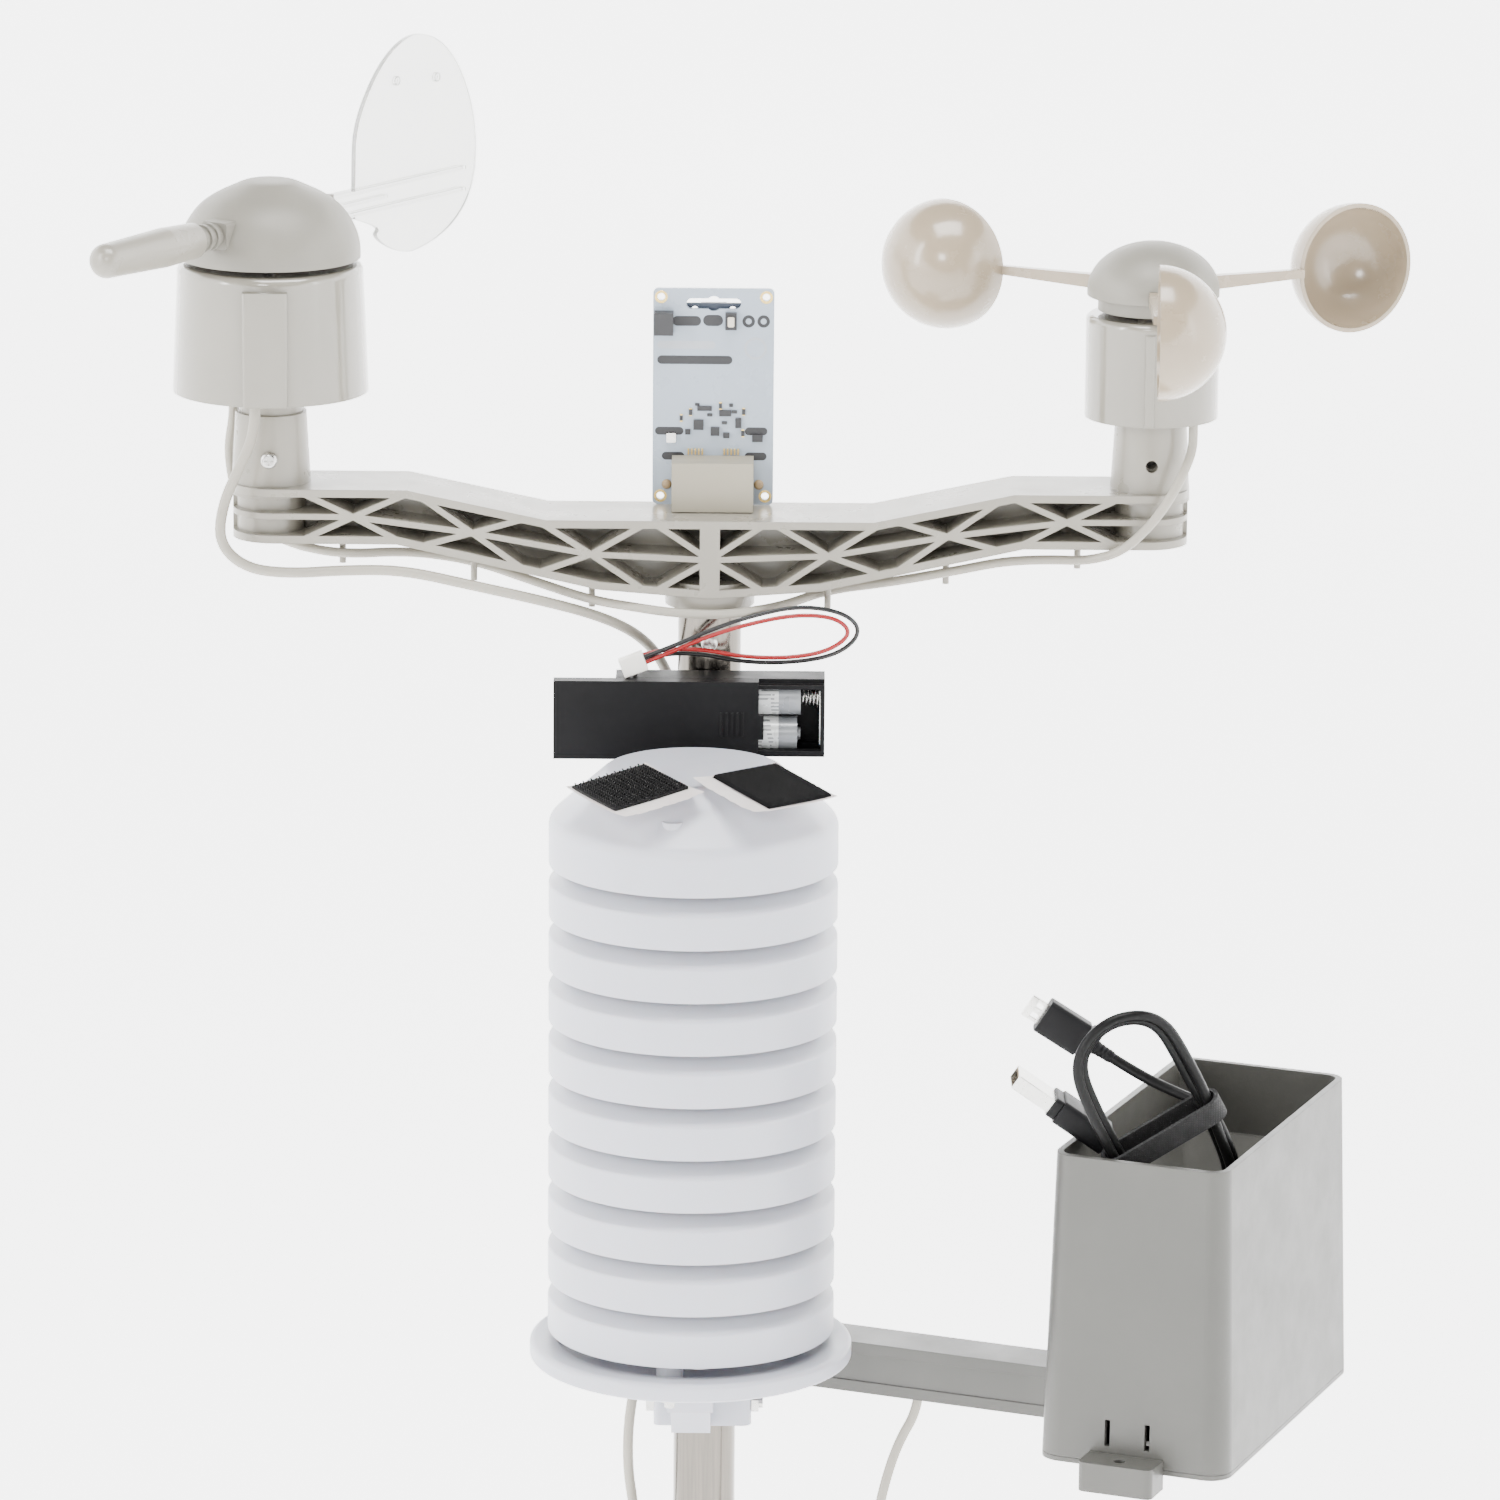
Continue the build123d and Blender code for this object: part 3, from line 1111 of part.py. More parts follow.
# ---------------------------------------------------------------- leads and their plugs
BOX_TOP = BOX_BOTTOM + BOX_HEIGHT
RED_ROUTE = [
    (LEAD_X - 1, LEAD_Y, BOX_TOP - 2), (LEAD_X - 1, LEAD_Y, 377), (-14, -16, 380), (-2, -15.5, 380),
    (10, -15, 377.5), (24, -14, 377), (36, -13, 379), (43, -12.5, 384.5),
    (38, -13, 389.5), (26, -14, 390.5), (12, -16, 388), (0, -17.5, 384.5),
    (-10, -19, 380.5), (-18.9, -20.02, 376.8)]
BLACK_ROUTE = [
    (LEAD_X + 1, LEAD_Y, BOX_TOP - 2), (LEAD_X + 1, LEAD_Y, 375.6), (-13, -14.6, 378.4), (-2, -14, 378.2),
    (10, -13.6, 375.6), (25, -12.4, 375.2), (39, -11.4, 377.6), (46, -11, 384.5),
    (41, -11.6, 390.6), (27, -12.6, 393), (12, -15, 390), (0, -17.5, 386.2),
    (-10, -19.2, 382), (-19.5, -20.02, 378.4)]
cord("battery_lead_red", RED_ROUTE, BATTERY_LEAD)
cord("battery_lead_black", BLACK_ROUTE, BATTERY_LEAD)

PLUG_DIR = Vector(-0.94, -0.05, -0.36).normalized()
with BuildPart() as battery_plug:
    with BuildSketch(Plane(origin=(-19.2, -20.02, 377.6), x_dir=(-0.36, 0, 0.94), z_dir=PLUG_DIR)):
        RectangleRounded(5.8, 4.2, 0.4)
    extrude(amount=7.5)
save(battery_plug, "battery_plug")

ROTOR_ROUTE = [
    (144.2, -11.0, ANEMO_BOTTOM), (144.2, -11.0, 441), (140.0, -16.5, 432), (133.0, -18.5, 421),
    (123.5, -18.2, 411.5), (113.5, -11.0, 407.0), (101.0, -5.0, 406.0), (88.0, -6.5, 405.6),
    (71.0, -8.0, 402.4), (53.0, -4.0, 398.2), (35.5, 3.4, 394.2), (21.0, -9.0, 391.6),
    (4.0, -17.2, 390.8), (-12.0, -16.0, 391.2), (-35.5, -8.0, 393.0), (-53.0, -4.5, 398.0),
    (-71.0, 3.6, 402.4), (-90.0, -3.5, 406.8), (-110.5, -8.0, 406.6), (-126.0, 4.0, 406.8),
    (-138.0, 15.0, 410.5), (-144.5, 17.5, 421), (-146.0, 15.5, 434), (-144.0, 12.0, 445),
    (-144.0, 12.0, VANE_BOTTOM)]
cord("anemometer_lead", ROTOR_ROUTE, ROTOR_LEAD)

WIND_ROUTE = [
    (-135.5, -20.0, VANE_BOTTOM), (-135.5, -20.0, 446), (-140.5, -19.0, 435), (-145.5, -17.5, 424),
    (-147.0, -18.0, 412), (-139.0, -19.0, 404.5), (-126.0, -17.0, 402.5), (-110.0, -13.0, 402.8),
    (-92.0, -13.0, 403), (-72.0, -13.0, 398.6), (-52.0, -12.5, 394.2), (-34.0, -9.0, 388.8),
    (-22.0, -3.0, 382), (-14.5, 6.0, 372), (-10.0, 13.0, 358), (-7.0, 14.5, 328),
    (-5.0, 15.5, 282), (-5.0, 16.5, 236), (-9.0, 18.5, 192), (-16.5, 14.5, 160),
    (-23.0, 5.0, 136), (-24.0, 4.5, 116), (-20.5, 10.0, 98), (-17.5, 17.0, 84)]
cord("wind_lead", WIND_ROUTE, WIND_LEAD)

EXIT = ARM_DIR * RAIN_EXIT
RAIN_ROUTE = [
    (EXIT.X, EXIT.Y, ARM_BOTTOM + 1.8), (EXIT.X - 0.6, EXIT.Y, 144), (EXIT.X - 6, EXIT.Y + 0.8, 134),
    (EXIT.X - 10, EXIT.Y, 122), (EXIT.X - 13.5, EXIT.Y - 1, 105), (EXIT.X - 20, EXIT.Y - 2, 88),
    (EXIT.X - 31, EXIT.Y - 0.5, 76), (20.5, -19.0, 62)]
cord("rain_lead", RAIN_ROUTE, RAIN_LEAD)


def coil(name, centre, mean_r, width, depth):
    """Outer shape of a wound lead: a ring lying upright against the mast."""
    with BuildPart() as ring:
        with BuildSketch(Plane(origin=centre, x_dir=(1, 0, 0), z_dir=(0, 0, 1))):
            with Locations((mean_r, 0)):
                RectangleRounded(width, depth, 3)
        revolve(axis=Axis(centre, (0, 1, 0)))
    save(ring, name)


WIND_COIL = Vector(0, 18.5, 72.0)
RAIN_COIL = Vector(0, -18.5, 62.0)
coil("wind_coil", WIND_COIL, 18.0, 12.0, 13.0)
coil("rain_coil", RAIN_COIL, 17.0, 12.0, 13.0)


def line_plug(name, start, direction):
    """Six-way telephone plug."""
    seat = Plane(origin=start, x_dir=(0, 1, 0), z_dir=direction)
    with BuildPart() as plug:
        with BuildSketch(seat):
            Rectangle(6.6, 9.6)
        extrude(amount=11.5)
        with BuildSketch(seat.offset(2)):
            with Locations((3.9, 0)):
                Rectangle(1.4, 3.2)
        extrude(amount=9)
    save(plug, name)


line_plug("wind_plug", (0, 19.0, 43.5), (0, 0, -1))
line_plug("rain_plug", (0, -19.0, 35.5), (0, 0, -1))

# ---------------------------------------------------------------- folded USB lead in the gauge
HANK_CENTRE = Vector(133.4, -98.8, 257.5)
HANK_DOWN = Vector(0.42, 0.30, -0.86).normalized()
HANK_NORMAL = Vector(0.30, -0.94, -0.18).cross(HANK_DOWN).cross(HANK_DOWN).normalized() * -1
HANK = Plane(origin=HANK_CENTRE, x_dir=HANK_DOWN, z_dir=HANK_NORMAL)
HANK_HALF = 23.4
HANK_TURN = 15.0
BUNDLE_R = 3.4

with BuildPart() as usb_hank:
    with BuildLine(HANK):
        Line((-HANK_HALF, HANK_TURN), (HANK_HALF, HANK_TURN))
        ThreePointArc((HANK_HALF, HANK_TURN), (HANK_HALF + HANK_TURN, 0), (HANK_HALF, -HANK_TURN))
        Line((HANK_HALF, -HANK_TURN), (-HANK_HALF, -HANK_TURN))
        ThreePointArc((-HANK_HALF, -HANK_TURN), (-HANK_HALF - HANK_TURN, 0), (-HANK_HALF, HANK_TURN))
    with BuildSketch(Plane(origin=HANK.from_local_coords((0, HANK_TURN, 0)), z_dir=HANK_DOWN)):
        Circle(BUNDLE_R)
    sweep()
save(usb_hank, "usb_hank")

with BuildPart() as cord_strap:
    with BuildSketch(Plane(origin=HANK.from_local_coords((0.6, 0, 0)), x_dir=HANK.y_dir, z_dir=HANK_DOWN)):
        SlotCenterToCenter(2 * HANK_TURN, 2 * (BUNDLE_R + 1.3))
        SlotCenterToCenter(2 * HANK_TURN, 2 * (BUNDLE_R + 0.1), mode=Mode.SUBTRACT)
    extrude(amount=7)
save(cord_strap, "cord_strap")


def plug_plane(start, direction, along=0):
    """Plane across a plug, some way along it."""
    return Plane(origin=start + direction * along, x_dir=direction.cross(Vector(0, 1, 0)), z_dir=direction)


MICRO_DIR = Vector(-0.84, 0, 0.54).normalized()
MICRO_START = Vector(119.5, -88, 274.5)
with BuildPart() as usb_micro_plug:
    with BuildSketch(plug_plane(MICRO_START, MICRO_DIR)):
        Circle(2.2)
    extrude(amount=6)
    with BuildSketch(plug_plane(MICRO_START, MICRO_DIR, 6)):
        RectangleRounded(10.6, 7, 1.2)
    extrude(amount=18)
    with BuildSketch(plug_plane(MICRO_START, MICRO_DIR, 24)):
        Rectangle(6.9, 1.8)
    extrude(amount=5.5)
save(usb_micro_plug, "usb_micro_plug")

A_DIR = Vector(-0.82, 0, 0.57).normalized()
A_START = Vector(118.5, -87.5, 249.3)
with BuildPart() as usb_a_plug:
    with BuildSketch(plug_plane(A_START, A_DIR)):
        RectangleRounded(7.6, 15, 1.2)
    extrude(amount=20)
    with BuildSketch(plug_plane(A_START, A_DIR, 20)):
        Rectangle(4.5, 12)
    extrude(amount=13)
save(usb_a_plug, "usb_a_plug")

MICRO_TAIL = [tuple(MICRO_START), (128, -88, 269.0), (138, -89, 264.4), (147.5, -93, 262)]
A_TAIL = [tuple(A_START), (127.1, -87.5, 243.3), (131.5, -89.8, 235.6), (132.0, -94.5, 229.0)]
cord("usb_tail_micro", MICRO_TAIL, USB_LEAD)
cord("usb_tail_a", A_TAIL, USB_LEAD)
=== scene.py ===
from math import cos, pi, radians, sin

import bmesh
import bpy
from mathutils import Matrix, Vector


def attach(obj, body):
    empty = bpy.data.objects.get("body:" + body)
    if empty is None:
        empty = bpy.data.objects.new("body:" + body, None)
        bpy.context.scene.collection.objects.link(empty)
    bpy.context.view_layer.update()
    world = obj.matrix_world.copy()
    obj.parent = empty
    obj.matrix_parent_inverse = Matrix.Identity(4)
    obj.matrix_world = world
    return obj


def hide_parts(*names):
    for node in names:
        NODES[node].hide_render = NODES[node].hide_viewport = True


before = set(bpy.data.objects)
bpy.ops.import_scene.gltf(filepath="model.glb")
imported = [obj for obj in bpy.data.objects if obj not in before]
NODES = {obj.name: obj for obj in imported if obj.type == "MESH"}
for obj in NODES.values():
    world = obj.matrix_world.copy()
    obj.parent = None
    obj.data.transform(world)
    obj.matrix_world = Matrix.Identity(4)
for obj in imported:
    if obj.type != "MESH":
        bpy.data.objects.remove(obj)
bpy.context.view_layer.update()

MM = 0.001


# ---------------------------------------------------------------- small helpers
def mm(point):
    return Vector(point) * MM


def frame_at(origin, x_dir, z_dir):
    """Matrix of a plane given in millimetres: x_dir is its first axis, z_dir its normal."""
    z = Vector(z_dir).normalized()
    x = Vector(x_dir)
    x = (x - z * x.dot(z)).normalized()
    y = z.cross(x)
    rows = Matrix((x, y, z)).transposed().to_4x4()
    return Matrix.Translation(mm(origin)) @ rows


def rounded(w, h, r, steps=4):
    """Outline of a rounded rectangle, in millimetres."""
    points = []
    for cx, cy, start in ((w / 2 - r, h / 2 - r, 0), (r - w / 2, h / 2 - r, 90),
                          (r - w / 2, r - h / 2, 180), (w / 2 - r, r - h / 2, 270)):
        for k in range(steps + 1):
            a = radians(start + 90 * k / steps)
            points.append((cx + r * cos(a), cy + r * sin(a)))
    return points


def circle(r, steps=24):
    return [(r * cos(2 * pi * k / steps), r * sin(2 * pi * k / steps)) for k in range(steps)]


def prism(bm, plane, outline, z0, z1, at=(0, 0), taper=1.0):
    """Closed prism over an outline, from z0 to z1 along the plane's normal."""
    rings = []
    for z, grow in ((z0, 1.0), (z1, taper)):
        rings.append([bm.verts.new(plane @ mm((at[0] + x * grow, at[1] + y * grow, z))) for x, y in outline])
    bm.faces.new(rings[0][::-1])
    bm.faces.new(rings[1])
    count = len(outline)
    for k in range(count):
        n = (k + 1) % count
        bm.faces.new((rings[0][k], rings[0][n], rings[1][n], rings[1][k]))


def ring(bm, plane, outer, inner, z0, z1, at=(0, 0), steps=28):
    """Flat ring with a hole."""
    loops = []
    for r, z in ((outer, z0), (outer, z1), (inner, z1), (inner, z0)):
        loops.append([bm.verts.new(plane @ mm((at[0] + x, at[1] + y, z))) for x, y in circle(r, steps)])
    for a, b in zip(loops, loops[1:] + loops[:1]):
        for k in range(steps):
            n = (k + 1) % steps
            bm.faces.new((a[k], a[n], b[n], b[k]))


def lathe(bm, plane, profile, steps=28):
    """Solid of revolution about the plane's normal: profile is (radius, height), both ends on the axis."""
    loops = []
    for r, z in profile:
        if r < 1e-6:
            loops.append([bm.verts.new(plane @ mm((0, 0, z)))])
        else:
            loops.append([bm.verts.new(plane @ mm((x, y, z))) for x, y in circle(r, steps)])
    for a, b in zip(loops, loops[1:]):
        for k in range(steps):
            n = (k + 1) % steps
            if len(a) == 1:
                bm.faces.new((a[0], b[n], b[k]))
            elif len(b) == 1:
                bm.faces.new((a[k], a[n], b[0]))
            else:
                bm.faces.new((a[k], a[n], b[n], b[k]))


def piece(name, bm, material, body, bevel=0.0, replaces=()):
    """Makes the mesh object, gives it its finish and lets it ride on a body."""
    bmesh.ops.recalc_face_normals(bm, faces=bm.faces)
    mesh = bpy.data.meshes.new(name)
    bm.to_mesh(mesh)
    bm.free()
    obj = bpy.data.objects.new(name, mesh)
    bpy.context.scene.collection.objects.link(obj)
    mesh.materials.append(material)
    for polygon in mesh.polygons:
        polygon.use_smooth = True
    mesh.set_sharp_from_angle(angle=radians(35))
    if bevel:
        edge = obj.modifiers.new("edge", "BEVEL")
        edge.width = bevel * MM
        edge.segments = 2
        edge.limit_method = "ANGLE"
        edge.angle_limit = radians(40)
    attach(obj, body)
    if replaces:
        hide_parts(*replaces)
    return obj


def line_piece(name, points, diameter, material, body, replaces=(), smooth=True):
    """A round wire, lead or spring on one open NURBS spline through given control points."""
    data = bpy.data.curves.new(name, "CURVE")
    data.dimensions = "3D"
    data.bevel_depth = diameter / 2 * MM
    data.bevel_resolution = 5
    data.resolution_u = 6
    data.use_fill_caps = True
    spline = data.splines.new("NURBS")
    spline.points.add(len(points) - 1)
    for slot, point in zip(spline.points, points):
        slot.co = (*mm(point), 1)
    spline.order_u = 3
    spline.use_endpoint_u = True
    obj = bpy.data.objects.new(name, data)
    bpy.context.scene.collection.objects.link(obj)
    data.materials.append(material)
    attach(obj, body)
    if replaces:
        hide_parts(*replaces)
    return obj


# ---------------------------------------------------------------- materials
class Finish:
    """Builds one node material step by step."""

    def __init__(self, name):
        self.material = bpy.data.materials.new(name)
        self.material.use_nodes = True
        self.tree = self.material.node_tree
        self.shader = self.tree.nodes["Principled BSDF"]
        self.place = self.add("ShaderNodeTexCoord").outputs["Object"]

    def add(self, kind, **settings):
        node = self.tree.nodes.new(kind)
        for key, value in settings.items():
            setattr(node, key, value)
        return node

    def link(self, a, b):
        self.tree.links.new(a, b)

    def stretch(self, scale):
        mapping = self.add("ShaderNodeMapping")
        mapping.inputs["Scale"].default_value = scale
        self.link(self.place, mapping.inputs["Vector"])
        return mapping.outputs["Vector"]

    def noise(self, scale, detail=3.0, rough=0.5, where=None, distortion=0.0):
        node = self.add("ShaderNodeTexNoise")
        node.inputs["Scale"].default_value = scale
        node.inputs["Detail"].default_value = detail
        node.inputs["Roughness"].default_value = rough
        node.inputs["Distortion"].default_value = distortion
        self.link(where or self.place, node.inputs["Vector"])
        return node.outputs["Fac"]

    def span(self, value, low, high, from_low=0.3, from_high=0.7):
        node = self.add("ShaderNodeMapRange")
        node.inputs["From Min"].default_value = from_low
        node.inputs["From Max"].default_value = from_high
        node.inputs["To Min"].default_value = low
        node.inputs["To Max"].default_value = high
        self.link(value, node.inputs["Value"])
        return node.outputs["Result"]

    def blend(self, fac, a, b):
        """Mix of two colours, each a tuple or a socket."""
        node = self.add("ShaderNodeMix", data_type="RGBA")
        self.link(fac, node.inputs["Factor"])
        for socket, value in ((node.inputs[6], a), (node.inputs[7], b)):
            if isinstance(value, tuple):
                socket.default_value = (*value, 1)
            else:
                self.link(value, socket)
        return node.outputs[2]

    def math(self, operation, a, b=None):
        node = self.add("ShaderNodeMath", operation=operation)
        for socket, value in zip(node.inputs, (a, b)):
            if value is None:
                continue
            if isinstance(value, (int, float)):
                socket.default_value = value
            else:
                self.link(value, socket)
        return node.outputs[0]

    def bump(self, height, strength, distance, edge=0.0):
        node = self.add("ShaderNodeBump")
        node.inputs["Strength"].default_value = strength
        node.inputs["Distance"].default_value = distance
        self.link(height, node.inputs["Height"])
        if edge:
            bevel = self.add("ShaderNodeBevel", samples=3)
            bevel.inputs["Radius"].default_value = edge
            self.link(bevel.outputs["Normal"], node.inputs["Normal"])
        self.link(node.outputs["Normal"], self.shader.inputs["Normal"])

    def set(self, **values):
        for key, value in values.items():
            self.shader.inputs[key.replace("_", " ")].default_value = value


def tint(colour, factor):
    return tuple(min(1.0, c * factor) for c in colour)


def moulded(name, colour, rough=0.42, mottle=0.05, grain=1400, bump=0.12, edge=0.0004, painted_shade=0.16, coat=0.0, **more):
    """Moulded plastic: cloudy colour, painted shade darkening the hollows, fine grain, uneven gloss and soft edges."""
    f = Finish(name)
    cloud = f.span(f.noise(28, 4, 0.55), 0, 1)
    base = f.blend(cloud, tint(colour, 1 - mottle), tint(colour, 1 + mottle))
    # painted shade: ambient occlusion darkens the colour in hollows, corners and between parts
    hollow = f.add("ShaderNodeAmbientOcclusion", samples=4)
    hollow.inputs["Distance"].default_value = 0.012
    shade = f.span(hollow.outputs["AO"], painted_shade, 0, 0.2, 0.85)
    f.link(f.blend(shade, base, tint(colour, 0.45)), f.shader.inputs["Base Color"])
    f.link(f.span(f.noise(70, 5, 0.6), rough - 0.06, rough + 0.07), f.shader.inputs["Roughness"])
    f.bump(f.noise(grain, 3, 0.6), bump, 0.0001, edge)
    if coat:
        f.set(Coat_Weight=coat, Coat_Roughness=0.12)
    f.set(**more)
    return f.material


def metal(name, colour, rough=0.25, streak=(1, 1, 1), scale=400, bump=0.1):
    """Worn metal with fine streaks along one direction."""
    f = Finish(name)
    where = f.stretch(streak)
    streaks = f.noise(scale, 4, 0.6, where)
    base = f.blend(f.span(streaks, 0, 1), tint(colour, 0.86), tint(colour, 1.1))
    f.link(base, f.shader.inputs["Base Color"])
    f.link(f.span(f.noise(scale * 0.6, 4, 0.6, where), rough - 0.06, rough + 0.1), f.shader.inputs["Roughness"])
    f.bump(streaks, bump, 0.00005)
    f.set(Metallic=1.0)
    return f.material


def woven(name, colour, thread=2600, sheen=0.35):
    """Tight woven strap or tape."""
    f = Finish(name)
    waves = []
    for direction in ("X", "Z"):
        wave = f.add("ShaderNodeTexWave", bands_direction=direction)
        wave.inputs["Scale"].default_value = thread / 6
        wave.inputs["Distortion"].default_value = 0.6
        f.link(f.place, wave.inputs["Vector"])
        waves.append(wave.outputs["Fac"])
    cloth = f.math("MULTIPLY", waves[0], waves[1])
    f.link(f.blend(f.span(cloth, 0, 1, 0, 1), tint(colour, 0.6), tint(colour, 1.7)), f.shader.inputs["Base Color"])
    f.link(f.span(f.noise(300), 0.75, 0.95), f.shader.inputs["Roughness"])
    f.bump(cloth, 0.5, 0.0002)
    f.set(Sheen_Weight=sheen, Sheen_Roughness=0.5)
    return f.material


def clear(name, colour=(0.93, 0.95, 0.95), rough=0.06, weight=0.93):
    """Clear moulding with faint flow marks."""
    f = Finish(name)
    flow = f.noise(45, 5, 0.6, f.stretch((1, 1, 2.5)), 0.8)
    f.link(f.blend(f.span(flow, 0, 1), tint(colour, 0.95), colour), f.shader.inputs["Base Color"])
    f.link(f.span(flow, rough, rough + 0.12), f.shader.inputs["Roughness"])
    f.bump(flow, 0.25, 0.0003, 0.0003)
    f.set(Transmission_Weight=weight, IOR=1.42, Specular_IOR_Level=0.6)
    return f.material


BEAM_GREY = moulded("beam_grey", (0.23, 0.214, 0.178), rough=0.3, painted_shade=0.04, coat=0.2)
HOUSING_GREY = moulded("housing_grey", (0.205, 0.192, 0.158), rough=0.14, coat=0.7)
DOME_GREY = moulded("dome_grey", (0.18, 0.17, 0.142), rough=0.44, grain=1800, bump=0.3)
CUP_BEIGE = moulded("cup_beige", (0.29, 0.232, 0.16), rough=0.24, coat=0.45)
GAUGE_GREY = moulded("gauge_grey", (0.066, 0.065, 0.058), rough=0.36, grain=1600, bump=0.3, painted_shade=0)
SCREEN_WHITE = moulded("screen_white", (0.44, 0.45, 0.50), rough=0.36, mottle=0.02, painted_shade=0.12,
                       Subsurface_Weight=0.12, Subsurface_Scale=0.003)
BLACK = moulded("black_plastic", (0.006, 0.006, 0.0065), rough=0.42, mottle=0.25, grain=2200, bump=0.35,
                Specular_IOR_Level=0.12)
CHIP = moulded("chip_black", (0.022, 0.022, 0.024), rough=0.5, mottle=0.2, edge=0.0001)
BUTTON = moulded("button_cream", (0.62, 0.56, 0.46), rough=0.4, edge=0.0001)
JACK = moulded("jack_beige", (0.28, 0.255, 0.195), rough=0.45, edge=0.0003)
PLUG_WHITE = moulded("plug_white", (0.80, 0.78, 0.72), rough=0.4, edge=0.0002)
BOARD_WHITE = moulded("board_white", (0.31, 0.36, 0.42), rough=0.3, mottle=0.02, painted_shade=0.05, edge=0.0002)
MODULE_DARK = moulded("module_dark", (0.02, 0.03, 0.05), rough=0.35, mottle=0.2, edge=0.0001)
BOARD_GREEN = moulded("board_green", (0.03, 0.16, 0.06), rough=0.35, mottle=0.15, edge=0.0002)
BUCKET_BLACK = moulded("bucket_black", (0.03, 0.03, 0.032), rough=0.35, mottle=0.2)
PRINT_BLACK = moulded("print_black", (0.02, 0.02, 0.022), rough=0.55, mottle=0.15, edge=0, painted_shade=0)
PRINT_GREY = moulded("print_grey", (0.35, 0.37, 0.40), rough=0.55, mottle=0.1, edge=0, painted_shade=0)
PEG_BROWN = moulded("peg_brown", (0.30, 0.21, 0.11), rough=0.4, edge=0.0001)
TIE_WHITE = moulded("tie_white", (0.75, 0.75, 0.72), rough=0.4, edge=0.0001)
LEAD_GREY = moulded("lead_grey", (0.30, 0.28, 0.235), rough=0.46, mottle=0.06, edge=0, painted_shade=0.25)
WIRE_RED = moulded("wire_red", (0.25, 0.002, 0.003), rough=0.34, mottle=0.1, edge=0, painted_shade=0.1)
WIRE_BLACK = moulded("wire_black", (0.006, 0.006, 0.006), rough=0.34, mottle=0.25, edge=0, painted_shade=0)
USB_BLACK = moulded("usb_black", (0.006, 0.006, 0.006), rough=0.36, mottle=0.25, edge=0, painted_shade=0,
                Specular_IOR_Level=0.12)
CLEAR = clear("clear_plastic", (0.90, 0.90, 0.88), 0.12, 0.8)
PLUG_CLEAR = clear("plug_clear", (0.86, 0.88, 0.86), 0.1)
MAST_STEEL = metal("mast_steel", (0.17, 0.155, 0.135), 0.14, (1, 1, 0.03), 900, 0.15)
SCREW_STEEL = metal("screw_steel", (0.55, 0.54, 0.52), 0.28, (1, 1, 1), 900)
SHAFT_STEEL = metal("shaft_steel", (0.60, 0.60, 0.60), 0.2, (1, 1, 6), 900)
MAGNET = metal("magnet_grey", (0.32, 0.32, 0.33), 0.3)
BRASS = metal("bearing_brass", (0.72, 0.52, 0.22), 0.3)
GOLD = metal("gold_pad", (0.85, 0.62, 0.22), 0.3, (1, 1, 1), 2000)
TIN = metal("tin_plate", (0.72, 0.71, 0.68), 0.22, (1, 1, 1), 1500)
STRAP = woven("strap_black", (0.004, 0.004, 0.0042), sheen=0.03)


def cell_sleeve():
    """Printed sleeve of the cells: a pale label with rows of generic dashes and a grey band."""
    f = Finish("cell_sleeve")
    split = f.add("ShaderNodeSeparateXYZ")
    f.link(f.place, split.inputs["Vector"])
    along = f.math("MULTIPLY", split.outputs["X"], 1000.0)
    up = f.math("MULTIPLY", split.outputs["Z"], 1000.0)
    rows = f.math("GREATER_THAN", f.math("SINE", f.math("MULTIPLY", up, 5.2)), 0.35)
    dashes = f.math("GREATER_THAN", f.noise(520, 1, 0.4, f.stretch((1, 0.1, 0.4))), 0.5)
    print_mask = f.math("MULTIPLY", rows, dashes)
    label = f.blend(f.math("MULTIPLY", print_mask, 0.75), (0.66, 0.67, 0.66), (0.08, 0.09, 0.09))
    band = f.math("GREATER_THAN", along, 21.0)
    coloured = f.blend(band, label, (0.24, 0.25, 0.26))
    f.link(coloured, f.shader.inputs["Base Color"])
    f.link(f.span(f.noise(120), 0.2, 0.35), f.shader.inputs["Roughness"])
    f.bump(f.noise(700), 0.05, 0.0001, 0.0003)
    f.set(Metallic=0.25, Coat_Weight=0.4, Coat_Roughness=0.1)
    return f.material


def paper():
    """Release paper: pale with a faint pink cast, and a fibrous surface."""
    f = Finish("release_paper")
    f.link(f.blend(f.span(f.noise(60, 5), 0, 1), (0.52, 0.46, 0.45), (0.62, 0.59, 0.57)), f.shader.inputs["Base Color"])
    f.link(f.span(f.noise(400), 0.5, 0.7), f.shader.inputs["Roughness"])
    f.bump(f.noise(1200, 5), 0.2, 0.0001)
    f.set(Sheen_Weight=0.1)
    return f.material


def fuzz():
    """Loop side of the fastener: dark, napped."""
    f = Finish("loop_fuzz")
    nap = f.noise(1500, 6, 0.8, None, 1.5)
    dark = f.blend(f.span(nap, 0, 1, 0.4, 0.65), (0.0015, 0.0015, 0.0017), (0.008, 0.008, 0.0085))
    f.link(dark, f.shader.inputs["Base Color"])
    f.link(f.span(nap, 0.8, 1.0), f.shader.inputs["Roughness"])
    f.bump(nap, 1.0, 0.0008)
    f.set(Sheen_Weight=0.03, Sheen_Roughness=0.4, Specular_IOR_Level=0.05)
    return f.material


SLEEVE = cell_sleeve()
PAPER = paper()
FUZZ = fuzz()

